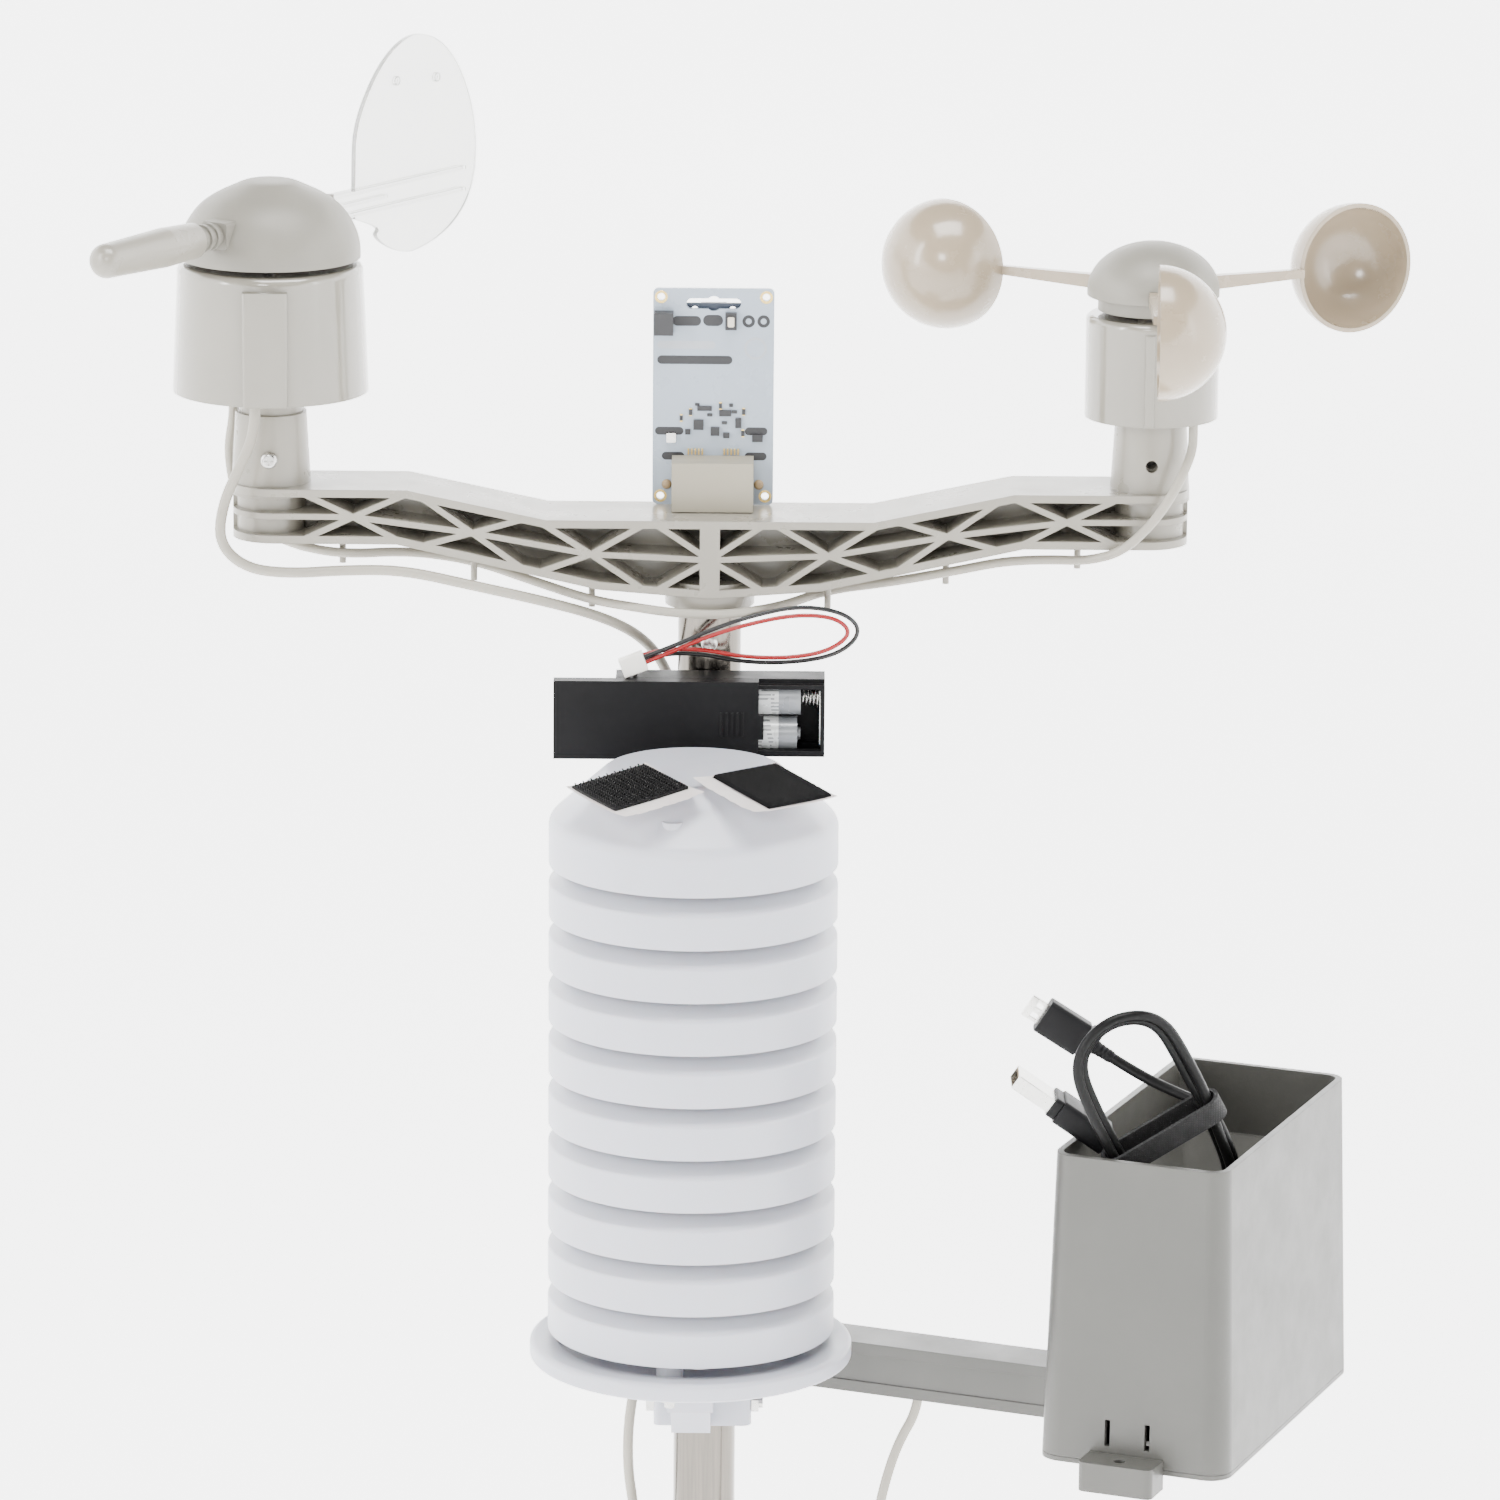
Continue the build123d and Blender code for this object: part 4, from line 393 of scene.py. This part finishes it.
LOOKS = {
    BEAM_GREY: ("crossarm", "vane_base_cover", "anemometer_base_cover", "vane_nose"),
    HOUSING_GREY: ("vane_housing", "anemometer_housing"),
    DOME_GREY: ("vane_dome", "anemometer_hub"),
    CUP_BEIGE: ("anemometer_cups",),
    GAUGE_GREY: ("side_arm", "gauge_cover", "gauge_base"),
    SCREEN_WHITE: ("screen_louvres", "screen_cap", "screen_base", "screen_bracket", "screen_clamp_jaw"),
    BLACK: ("battery_box", "battery_cover"),
    CHIP: ("board_components",),
    BUTTON: ("poke_button", "boot_button"),
    JACK: ("rj_block",),
    PLUG_WHITE: ("battery_plug",),
    BOARD_WHITE: ("sensor_board",),
    MODULE_DARK: ("controller_module",),
    BOARD_GREEN: ("vane_board", "anemometer_board", "gauge_board"),
    BUCKET_BLACK: ("tipping_bucket",),
    LEAD_GREY: ("anemometer_lead",),
    CLEAR: ("vane_tail",),
    PLUG_CLEAR: ("wind_plug", "rain_plug"),
    MAST_STEEL: ("mast",),
    SCREW_STEEL: ("fixing_screws", "screen_fasteners"),
    SHAFT_STEEL: ("vane_shaft", "anemometer_shaft", "bucket_pin"),
    MAGNET: ("vane_magnet", "anemometer_magnet", "bucket_magnet"),
    BRASS: ("rotor_bearings",),
    SLEEVE: ("battery_cells",),
    STRAP: ("cord_strap",),
}
for material, names in LOOKS.items():
    for name in names:
        slots = NODES[name].data.materials
        if slots:
            for k in range(len(slots)):
                slots[k] = material
        else:
            slots.append(material)

# ---------------------------------------------------------------- camera
camera = bpy.data.objects.new("camera", bpy.data.cameras.new("camera"))
bpy.context.scene.collection.objects.link(camera)
camera.data.sensor_width = 36.0
camera.data.lens = 198.0
camera.data.clip_end = 20.0
PITCH = 13.9
ROLL = 0.45
camera.matrix_world = (Matrix.Translation((0.0125, -2.4268, 0.9456))
                       @ Matrix.Rotation(radians(90 - PITCH), 4, "X") @ Matrix.Rotation(radians(ROLL), 4, "Z"))
bpy.context.scene.camera = camera

# ---------------------------------------------------------------- leads
ARM_YAW = radians(-22.0)
ARM_DIR = Vector((cos(ARM_YAW), sin(ARM_YAW), 0))
ARM_BOTTOM = 150.0
VANE_BOTTOM = 455.5
BOX_TOP = 372.3
LEAD_X = -23.6
LEAD_Y = -17.4

RED_ROUTE = [
    (LEAD_X - 1, LEAD_Y, BOX_TOP - 2), (LEAD_X - 1, LEAD_Y, 377), (-14, -16, 380), (-2, -15.5, 380),
    (10, -15, 377.5), (24, -14, 377), (36, -13, 379), (43, -12.5, 384.5), (38, -13, 389.5),
    (26, -14, 390.5), (12, -16, 388), (0, -17.5, 384.5), (-10, -19, 380.5), (-18.9, -20.02, 376.8)]
BLACK_ROUTE = [
    (LEAD_X + 1, LEAD_Y, BOX_TOP - 2), (LEAD_X + 1, LEAD_Y, 375.6), (-13, -14.6, 378.4), (-2, -14, 378.2),
    (10, -13.6, 375.6), (25, -12.4, 375.2), (39, -11.4, 377.6), (46, -11, 384.5), (41, -11.6, 390.6),
    (27, -12.6, 393), (12, -15, 390), (0, -17.5, 386.2), (-10, -19.2, 382), (-19.5, -20.02, 378.4)]
WIND_ROUTE = [
    (-135.5, -20.0, VANE_BOTTOM), (-135.5, -20.0, 446), (-140.5, -19.0, 435), (-145.5, -17.5, 424),
    (-147.0, -18.0, 412), (-139.0, -19.0, 404.5), (-126.0, -17.0, 402.5), (-110.0, -13.0, 402.8),
    (-92.0, -13.0, 403), (-72.0, -13.0, 398.6), (-52.0, -12.5, 394.2), (-34.0, -9.0, 388.8),
    (-22.0, -3.0, 382), (-14.5, 6.0, 372), (-10.0, 13.0, 358), (-7.0, 14.5, 328), (-5.0, 15.5, 282),
    (-5.0, 16.5, 236), (-9.0, 18.5, 192), (-16.5, 14.5, 160), (-23.0, 5.0, 136), (-24.0, 4.5, 116),
    (-21.5, 9.0, 98)]
EXIT = ARM_DIR * 71.0
RAIN_ROUTE = [
    (EXIT.x, EXIT.y, ARM_BOTTOM + 1.8), (EXIT.x - 0.6, EXIT.y, 144), (EXIT.x - 6, EXIT.y + 0.8, 134),
    (EXIT.x - 10, EXIT.y, 122), (EXIT.x - 13.5, EXIT.y - 1, 105), (EXIT.x - 20, EXIT.y - 2, 88),
    (EXIT.x - 31, EXIT.y - 0.5, 76)]


def coil_turns(centre, mean_r, pitch, first, way, columns):
    """Control points of a neat wound coil: columns lie beside each other along Y, turns inside each other."""
    cells = []
    for number, count in enumerate(columns):
        radii = [mean_r + pitch * (k - (count - 1) / 2) for k in range(count)]
        if number % 2 == 0:
            radii.reverse()
        offset = pitch * (number - (len(columns) - 1) / 2)
        cells += [(r, offset) for r in radii]
    per_turn = 14
    points = []
    for number, (r, offset) in enumerate(cells):
        after = cells[min(number + 1, len(cells) - 1)]
        for k in range(per_turn):
            share = max(0.0, (k - per_turn + 4) / 4)
            radius = r + (after[0] - r) * share
            y = offset + (after[1] - offset) * share
            a = radians(first + way * 360 * k / per_turn)
            points.append((centre[0] + radius * cos(a), centre[1] + way * y, centre[2] + radius * sin(a)))
    return points


red = line_piece("battery_wire_red", RED_ROUTE, 1.3, WIRE_RED, "frame", ("battery_lead_red",))
black = line_piece("battery_wire_black", BLACK_ROUTE, 1.3, WIRE_BLACK, "frame", ("battery_lead_black",))

WIND_COIL = (0, 18.5, 72)
WIND_COIL_R = 18.0
RAIN_COIL = (0, -18.5, 62)
RAIN_COIL_R = 17.0
TURN_PITCH = 2.9
COIL_COLUMNS = (4, 3, 4, 3)
WIND_TURNS = coil_turns(WIND_COIL, WIND_COIL_R, TURN_PITCH, 165, 1, COIL_COLUMNS)
WIND_TAIL = [(-6.5, 22.0, 52.0), (0.0, 20.6, 48.4), (0.4, 19.3, 46.0), (0.0, 19.0, 43.0)]
wind = line_piece("wind_line", WIND_ROUTE + WIND_TURNS + WIND_TAIL, 3.2, LEAD_GREY, "frame",
                  ("wind_lead", "wind_coil"))
RAIN_TURNS = coil_turns(RAIN_COIL, RAIN_COIL_R, TURN_PITCH, 8, -1, COIL_COLUMNS)
RAIN_TAIL = [(6.5, -15.5, 43.5), (0.4, -17.2, 40.2), (0.0, -18.8, 37.8), (0.0, -19.0, 35.0)]
rain = line_piece("rain_line", RAIN_ROUTE + RAIN_TURNS + RAIN_TAIL, 3.0, LEAD_GREY, "frame",
                  ("rain_lead", "rain_coil"))


def tie(name, centre, mean_r, angle, body):
    """Cable tie round a coil's section: a flat band with a square head."""
    a = radians(angle)
    out = Vector((cos(a), 0, sin(a)))
    middle = Vector(centre) + out * mean_r
    plane = frame_at(middle, out, Vector((0, 1, 0)).cross(out))
    bm = bmesh.new()
    inner = rounded(12.6, 12.6, 5.6, 6)
    outer = rounded(14.2, 14.2, 6.4, 6)
    rings = []
    for outline, z in ((outer, -1.2), (outer, 1.2), (inner, 1.2), (inner, -1.2)):
        rings.append([bm.verts.new(plane @ mm((x * 0.94, y * 0.94, z))) for x, y in outline])
    for p, q in zip(rings, rings[1:] + rings[:1]):
        for k in range(len(outer)):
            n = (k + 1) % len(outer)
            bm.faces.new((p[k], p[n], q[n], q[k]))
    prism(bm, plane, rounded(1.4, 4.0, 0.4), -2.0, 2.0, (6.2, 0))
    return piece(name, bm, TIE_WHITE, body, 0.15)


def contacts(name, start, body):
    """Gold contacts and their ribs at a line plug's end."""
    bm = bmesh.new()
    plane = frame_at(start, (0, 1, 0), (0, 0, -1))
    for k in range(6):
        prism(bm, plane, rounded(0.5, 0.55, 0.1, 1), 7.2, 11.3, (-3.05, (k - 2.5) * 1.02))
    return piece(name, bm, GOLD, body)


wind_ties = [
    tie("wind_tie_a", WIND_COIL, WIND_COIL_R, 62, "frame"),
    tie("wind_tie_b", WIND_COIL, WIND_COIL_R, 242, "frame")]
rain_ties = [
    tie("rain_tie_a", RAIN_COIL, RAIN_COIL_R, 118, "frame"),
    tie("rain_tie_b", RAIN_COIL, RAIN_COIL_R, 298, "frame")]
wind_pins = contacts("wind_plug_pins", (0, 19.0, 43.5), "frame")
rain_pins = contacts("rain_plug_pins", (0, -19.0, 35.5), "frame")

# ---------------------------------------------------------------- folded USB lead
HANK_CENTRE = Vector((133.4, -98.8, 257.5))
HANK_DOWN = Vector((0.42, 0.30, -0.86)).normalized()
HANK_NORMAL = Vector((0.30, -0.94, -0.18)).cross(HANK_DOWN).cross(HANK_DOWN).normalized() * -1
HANK = frame_at(HANK_CENTRE, HANK_DOWN, HANK_NORMAL)
HALF = 23.4
TURN = 15.0


def hank(x, y, z=0.0):
    point = HANK @ mm((x, y, z))
    return tuple(point / MM)


def hank_pass(out, lift):
    """One time round the hank, from its right side down, up the left side and over the top."""
    r = TURN + out
    round_low = [(HALF + r * sin(radians(a)), r * cos(radians(a))) for a in (30, 65, 100, 135)]
    round_high = [(-HALF - r * sin(radians(a)), -r * cos(radians(a))) for a in (25, 60, 95, 130, 160)]
    low = [(HALF - 14, r), *round_low, (HALF - 6, -r)]
    high = [(2, -r), (-HALF + 8, -r), *round_high, (-HALF + 4, r), (0, r)]
    return [hank(x, y, lift) for x, y in low + high]


MICRO_DIR = Vector((-0.84, 0, 0.54)).normalized()
MICRO_START = Vector((119.5, -88, 274.5))
A_DIR = Vector((-0.82, 0, 0.57)).normalized()
A_START = Vector((118.5, -87.5, 249.3))
USB_ROUTE = [tuple(MICRO_START + MICRO_DIR), (128, -88, 269.0), (138, -89, 264.4), (145.6, -91.6, 262)]
USB_ROUTE += hank_pass(-0.9, -1.7) + hank_pass(1.3, 0.2)
R_LAST = TURN - 0.4
USB_ROUTE += [hank(HALF - 14, R_LAST, 1.9)]
USB_ROUTE += [hank(HALF + R_LAST * sin(radians(a)), R_LAST * cos(radians(a)), 1.6) for a in (30, 65, 100, 130)]
USB_ROUTE += [(132.5, -93.5, 229.0), (131.0, -89.8, 236.0), (127.1, -87.5, 243.3), tuple(A_START + A_DIR * 1.0)]
usb = line_piece("usb_line", USB_ROUTE, 3.2, USB_BLACK, "gauge_top",
                 ("usb_hank", "usb_tail_micro", "usb_tail_a"))


def plug_plane(start, direction):
    return frame_at(start, Vector(direction).cross(Vector((0, 1, 0))), direction)


def usb_micro():
    """Micro plug: ribbed relief, moulded body, and a plated tip with two slots in its face."""
    plane = plug_plane(MICRO_START, MICRO_DIR)
    bm = bmesh.new()
    lathe(bm, plane, [(0, -0.6), (1.75, -0.6), (1.95, 1), (1.75, 1.4), (2.05, 2.2), (1.8, 2.7), (2.15, 3.6), (1.9, 4.1),
                      (2.2, 5.0), (2.2, 6.4), (0, 6.4)])
    prism(bm, plane, rounded(10.6, 7, 1.6), 6.0, 9.0)
    prism(bm, plane, rounded(9.4, 6.2, 1.4), 9.0, 10.0)
    prism(bm, plane, rounded(10.6, 7, 1.6), 10.0, 24.0)
    body = piece("usb_micro_body", bm, BLACK, "gauge_top", 0.35)
    bm = bmesh.new()
    prism(bm, plane, rounded(6.9, 1.8, 0.3), 23.8, 24.9)
    for x, w in ((-2.9, 1.1), (0, 1.7), (2.9, 1.1)):
        prism(bm, plane, rounded(w, 1.8, 0.1, 1), 24.9, 27.2, (x, 0))
    prism(bm, plane, rounded(6.9, 1.8, 0.3), 27.2, 29.4)
    tip = piece("usb_micro_tip", bm, TIN, "gauge_top", 0.12, ("usb_micro_plug",))
    return [body, tip]


def usb_a():
    """Flat plug: moulded body with a step, and an open plated shell with a tongue inside."""
    plane = plug_plane(A_START, A_DIR)
    bm = bmesh.new()
    prism(bm, plane, rounded(7.6, 15, 1.6), 0.0, 17.2)
    prism(bm, plane, rounded(6.4, 13.6, 1.2), 17.2, 20.0)
    for z in (4.0, 6.0, 8.0, 10.0):
        prism(bm, plane, rounded(7.9, 9.0, 0.4), z, z + 0.7)
    body = piece("usb_a_body", bm, BLACK, "gauge_top", 0.35)
    bm = bmesh.new()
    for x in (-2.1, 2.1):
        prism(bm, plane, rounded(0.3, 12.0, 0.1, 1), 20.0, 33.0, (x, 0))
    for y in (-5.85, 5.85):
        prism(bm, plane, rounded(4.3, 0.3, 0.1, 1), 20.0, 33.0, (0, y))
    shell = piece("usb_a_shell", bm, TIN, "gauge_top", 0.08, ("usb_a_plug",))
    bm = bmesh.new()
    prism(bm, plane, rounded(1.7, 11.2, 0.2, 1), 20.0, 32.0, (-1.0, 0))
    tongue = piece("usb_a_tongue", bm, PEG_BROWN, "gauge_top", 0.1)
    return [body, shell, tongue]


usb_ends = usb_micro() + usb_a()

# ---------------------------------------------------------------- sensor board details
BOARD = frame_at((0.6, 9.5, 419.0), (1, 0, 0), (0, -1, 0))


def board_prints():
    """Blank label pills and bars, in place of the printed words."""
    bm = bmesh.new()
    for x, z, w, h in ((-8.1, 56.3, 8.6, 3.0), (-0.2, 56.5, 6.0, 3.4), (-13.2, 22.6, 8.6, 2.4), (13.0, 22.6, 6.8, 2.4),
                       (-12.0, 14.9, 6.8, 2.4), (12.9, 14.9, 6.6, 2.4), (-5.6, 44.4, 22.6, 2.6)):
        prism(bm, BOARD, rounded(w, h, h / 2 - 0.01, 6), 0.0, 0.05, (x, z))
    for x in (10.5, 15.0):
        ring(bm, BOARD, 1.9, 0.9, 0.0, 0.05, (x, 56.3))
    piece("board_prints", bm, PRINT_BLACK, "frame")
    bm = bmesh.new()
    prism(bm, BOARD, rounded(17.5, 2.4, 1.19, 6), 0.0, 0.05, (-8.2, 49.0))
    ring(bm, BOARD, 3.4, 2.7, 0.0, 0.05, (12.6, 48.0))
    piece("board_prints_pale", bm, PRINT_GREY, "frame")


def board_parts():
    """Small chips, gold pads and pins, the two pegs of the jack block and the metal sensor can."""
    bm = bmesh.new()
    for x, z, w, h, t in ((-6.8, 28.4, 1.0, 1.8, 0.6), (-1.0, 27.6, 1.6, 0.9, 0.5), (2.2, 30.4, 0.9, 1.6, 0.5),
                          (6.4, 28.6, 1.7, 0.9, 0.6), (5.4, 30.6, 1.2, 1.0, 0.5), (-7.6, 22.4, 1.6, 1.6, 0.7),
                          (4.0, 21.4, 1.9, 1.6, 0.8), (9.2, 28.6, 1.0, 1.8, 0.5), (-9.6, 26.6, 0.9, 1.3, 0.4),
                          (9.0, 22.0, 1.0, 1.6, 0.6), (-4.8, 30.8, 1.4, 0.8, 0.4), (3.4, 25.2, 1.6, 0.9, 0.5)):
        prism(bm, BOARD, rounded(w, h, 0.12, 2), 0.0, t, (x, z))
    piece("board_small_parts", bm, CHIP, "frame", 0.06)
    bm = bmesh.new()
    for x in (-15.8, 15.8):
        for z in (2.6, 63.6):
            ring(bm, BOARD, 1.95, 1.17, 0.0, 0.06, (x, z))
    for start in (-7.4, 3.4):
        for k in range(5):
            prism(bm, BOARD, rounded(0.45, 1.9, 0.1, 1), 0.0, 0.5, (start + k * 1.05, 16.3))
    for x, z in ((-6.8, 28.4), (2.2, 30.4), (9.2, 28.6), (9.0, 22.0), (-9.6, 26.6)):
        for end in (-1, 1):
            prism(bm, BOARD, rounded(0.9, 0.35, 0.05, 1), 0.0, 0.35, (x, z + end * 1.0))
    piece("board_gold", bm, GOLD, "frame", 0.04)
    bm = bmesh.new()
    for x in (-13.9, 13.9):
        plane = BOARD @ Matrix.Translation(mm((x, 6.2, 0)))
        lathe(bm, plane, [(0, 0), (1.5, 0), (1.45, 0.7), (1.0, 1.5), (0, 1.8)])
    piece("board_pegs", bm, PEG_BROWN, "frame")
    bm = bmesh.new()
    prism(bm, BOARD, rounded(2.9, 2.9, 0.3, 2), 0.0, 1.15, (-12.6, 20.6))
    ring(bm, BOARD, 0.35, 0.12, 1.15, 1.2, (-12.0, 21.2))
    piece("board_sensor_can", bm, TIN, "frame", 0.12)


board_prints()
board_parts()

# ---------------------------------------------------------------- battery springs and plates
BOX_BOTTOM = 348.3
CELL_Y = -17.4
CELL_LEFT = 27.6 - 44.5
BOX_RIGHT = 34.8 - 1.1


def battery_metal():
    """Contact plates at both ends of the cells, and a coiled spring at each minus end."""
    bm = bmesh.new()
    for x in (CELL_LEFT - 1.9, BOX_RIGHT - 0.5):
        plane = frame_at((x, CELL_Y, BOX_BOTTOM + 12), (0, 1, 0), (1, 0, 0))
        prism(bm, plane, rounded(8, 18, 1), 0.0, 0.4)
    piece("battery_plates", bm, TIN, "frame", 0.08, ("battery_contacts",))
    for name, x, z, way, reach, turns in (("battery_spring_right", BOX_RIGHT - 0.5, BOX_BOTTOM + 17.55, -1, 5.4, 5),
                                          ("battery_spring_left", CELL_LEFT - 1.5, BOX_BOTTOM + 6.45, 1, 1.5, 3)):
        points = []
        for k in range(turns * 12 + 1):
            share = k / (turns * 12)
            r = 3.2 - 1.3 * share
            a = 2 * pi * k / 12
            points.append((x + way * reach * share, CELL_Y + r * cos(a), z + r * sin(a)))
        line_piece(name, points, 0.55, TIN, "frame")


battery_metal()

# ---------------------------------------------------------------- hook and loop pads
SCREEN = Vector((-4.0, -59.0, 0))
CAP_TOP = 354.1
CAP_FLAT_R = 26.0
LINER = (33.0, 27.5)
LINER_SHIFT = 2.8
PAD_SIDE = 25.4


def pad_plane(azimuth, tilt, downhill, turn):
    """Plane resting on the cap's crown edge, tilted down outwards and turned about its normal."""
    slope = radians(tilt)
    out = Vector((cos(radians(azimuth)), sin(radians(azimuth)), 0))
    fall = out * cos(slope) - Vector((0, 0, 1)) * sin(slope)
    normal = out * sin(slope) + Vector((0, 0, 1)) * cos(slope)
    edge = SCREEN + Vector((0, 0, CAP_TOP)) + out * CAP_FLAT_R
    plane = frame_at(edge + fall * downhill + normal * 0.1, fall, normal)
    return plane @ Matrix.Rotation(radians(turn), 4, "Z")


def liner(name, plane, node):
    """Backing paper with slightly lifted corners."""
    bm = bmesh.new()
    count = 28
    long, wide = LINER
    grid = []
    for i in range(count + 1):
        row = []
        for j in range(count + 1):
            x = long * (i / count - 0.5)
            y = wide * (j / count - 0.5)
            corner = (4 * abs(x * y) / (long * wide)) ** 3
            torn = 0.35 * sin(j * 1.9) * cos(j * 0.7) if i == count else 0.0
            lift = 0.22 + 0.8 * corner + 0.06 * sin(x * 0.5) * cos(y * 0.4)
            row.append(bm.verts.new(plane @ mm((x + torn + LINER_SHIFT, y, lift))))
        grid.append(row)
    for i in range(count):
        for j in range(count):
            bm.faces.new((grid[i][j], grid[i + 1][j], grid[i + 1][j + 1], grid[i][j + 1]))
    obj = piece(name, bm, PAPER, "frame", 0, (node,))
    return obj


def hook_face(tape):
    """Hook side: a thin tape with rows of small hooks."""
    bm = bmesh.new()
    prism(bm, tape, rounded(PAD_SIDE, PAD_SIDE, 0.8), 0.4, 1.05)
    rows = 18
    for i in range(rows):
        for j in range(rows):
            x = (i - (rows - 1) / 2) * 1.36
            y = (j - (rows - 1) / 2) * 1.36
            lean = 0.22 if j % 2 else -0.22
            foot = tape @ Matrix.Translation(mm((x, y, 1.05)))
            low = [bm.verts.new(foot @ mm(p)) for p in ((-0.2, -0.2, 0), (0.2, -0.2, 0), (0.2, 0.2, 0), (-0.2, 0.2, 0))]
            mid = [bm.verts.new(foot @ mm((p[0] * 0.7 + lean * 0.5, p[1] * 0.7, 0.5)))
                   for p in ((-0.2, -0.2), (0.2, -0.2), (0.2, 0.2), (-0.2, 0.2))]
            top = [bm.verts.new(foot @ mm((p[0] + lean * 2, p[1], 0.8)))
                   for p in ((-0.25, -0.22), (0.25, -0.22), (0.25, 0.22), (-0.25, 0.22))]
            for a, b in ((low, mid), (mid, top)):
                for k in range(4):
                    n = (k + 1) % 4
                    bm.faces.new((a[k], a[n], b[n], b[k]))
            bm.faces.new(top)
            bm.faces.new(low[::-1])
    return piece("hook_tape", bm, BLACK, "frame")


def loop_face(tape):
    """Loop side: a thin tape with an uneven nap."""
    bm = bmesh.new()
    count = 48
    side = PAD_SIDE
    levels = []
    for i in range(count + 1):
        row = []
        for j in range(count + 1):
            x = side * (i / count - 0.5)
            y = side * (j / count - 0.5)
            rim = min(1.0, (side / 2 - max(abs(x), abs(y))) * 1.4)
            nap = 0.16 * sin(i * 2.3 + j * 1.7) * cos(j * 2.9 - i * 0.8)
            row.append(bm.verts.new(tape @ mm((x, y, 0.5 + 1.1 * rim ** 0.5 + nap * rim))))
        levels.append(row)
    for i in range(count):
        for j in range(count):
            bm.faces.new((levels[i][j], levels[i + 1][j], levels[i + 1][j + 1], levels[i][j + 1]))
    return piece("loop_tape", bm, FUZZ, "frame")


HOOK_PLANE = pad_plane(-127, 9, 4.8, 68.8)
LOOP_PLANE = pad_plane(-42, 11, 5.1, -95.7)
liner("hook_liner", HOOK_PLANE, "hook_pad")
liner("loop_liner", LOOP_PLANE, "loop_pad")
hook_face(HOOK_PLANE)
loop_face(LOOP_PLANE)

# ---------------------------------------------------------------- marks on the clear tail
TAIL_YAW = radians(56.0)
TAIL_DIR = Vector((cos(TAIL_YAW), sin(TAIL_YAW), 0))
TAIL = frame_at((-132.0, 0, 506.0), TAIL_DIR, TAIL_DIR.cross(Vector((0, 0, 1))))
bm = bmesh.new()
for x, y in ((63.0, 34.5), (83.5, 33.0)):
    ring(bm, TAIL, 1.5, 1.1, 0.8, 0.95, (x, y))
    ring(bm, TAIL, 1.5, 1.1, -0.95, -0.8, (x, y))
piece("tail_marks", bm, CLEAR, "vane")

# ---------------------------------------------------------------- floor, backdrop and light
SWEEP_R = 4.0
SWEEP_BEND = 1.0
SWEEP_TOP = 3.6
SIDES = 64
sweep_profile = [(0.0, 0.0), (1.0, 0.0), (2.0, 0.0), (3.0, 0.0)]
sweep_profile += [(SWEEP_R - SWEEP_BEND + SWEEP_BEND * sin(radians(a)), SWEEP_BEND - SWEEP_BEND * cos(radians(a)))
                  for a in range(0, 91, 10)]
sweep_profile += [(SWEEP_R, SWEEP_TOP)]
bm = bmesh.new()
rows = []
for r, z in sweep_profile:
    row = []
    for k in range(SIDES + 1):
        a = 2 * pi * k / SIDES
        behind = 0.5 + 0.5 * sin(a)
        wall_z = z * min(1.0, behind * 3)
        row.append(bm.verts.new((r * cos(a), r * sin(a), wall_z - 0.0006)))
    rows.append(row)
for a, b in zip(rows, rows[1:]):
    for k in range(SIDES):
        bm.faces.new((a[k], a[k + 1], b[k + 1], b[k]))
bmesh.ops.remove_doubles(bm, verts=bm.verts, dist=0.0001)
mesh = bpy.data.meshes.new("backdrop")
bm.to_mesh(mesh)
bm.free()
backdrop = bpy.data.objects.new("backdrop", mesh)
bpy.context.scene.collection.objects.link(backdrop)
paint = Finish("backdrop_white")
paint.link(paint.blend(paint.noise(3), (0.86, 0.86, 0.86), (0.89, 0.89, 0.89)), paint.shader.inputs["Base Color"])
paint.set(Roughness=0.9, Emission_Color=(1, 1, 1, 1), Emission_Strength=3.0, Specular_IOR_Level=0.1)
mesh.materials.append(paint.material)
for polygon in mesh.polygons:
    polygon.use_smooth = True

world = bpy.data.worlds.new("studio")
world.use_nodes = True
world.node_tree.nodes["Background"].inputs["Color"].default_value = (1, 1, 1, 1)
world.node_tree.nodes["Background"].inputs["Strength"].default_value = 0.12
bpy.context.scene.world = world


def softbox(name, place, target, size, power):
    """Rectangular soft light at a place, turned to face its target."""
    light = bpy.data.lights.new(name, "AREA")
    light.shape = "RECTANGLE"
    light.size = size[0]
    light.size_y = size[1]
    light.energy = power
    obj = bpy.data.objects.new(name, light)
    obj.location = place
    aim = Vector(target) - Vector(place)
    obj.rotation_euler = aim.to_track_quat("-Z", "Y").to_euler()
    bpy.context.scene.collection.objects.link(obj)


softbox("key", (-1.5, -1.0, 1.2), (0, 0, 0.35), (0.3, 1.3), 26)
softbox("fill", (1.5, -0.9, 0.9), (0, 0, 0.3), (0.2, 1.3), 5)
softbox("front", (-0.4, -2.6, 1.5), (0, 0, 0.35), (0.5, 0.5), 26)
softbox("top", (0.1, -0.3, 1.7), (0.05, 0, 0.3), (0.9, 0.6), 34)
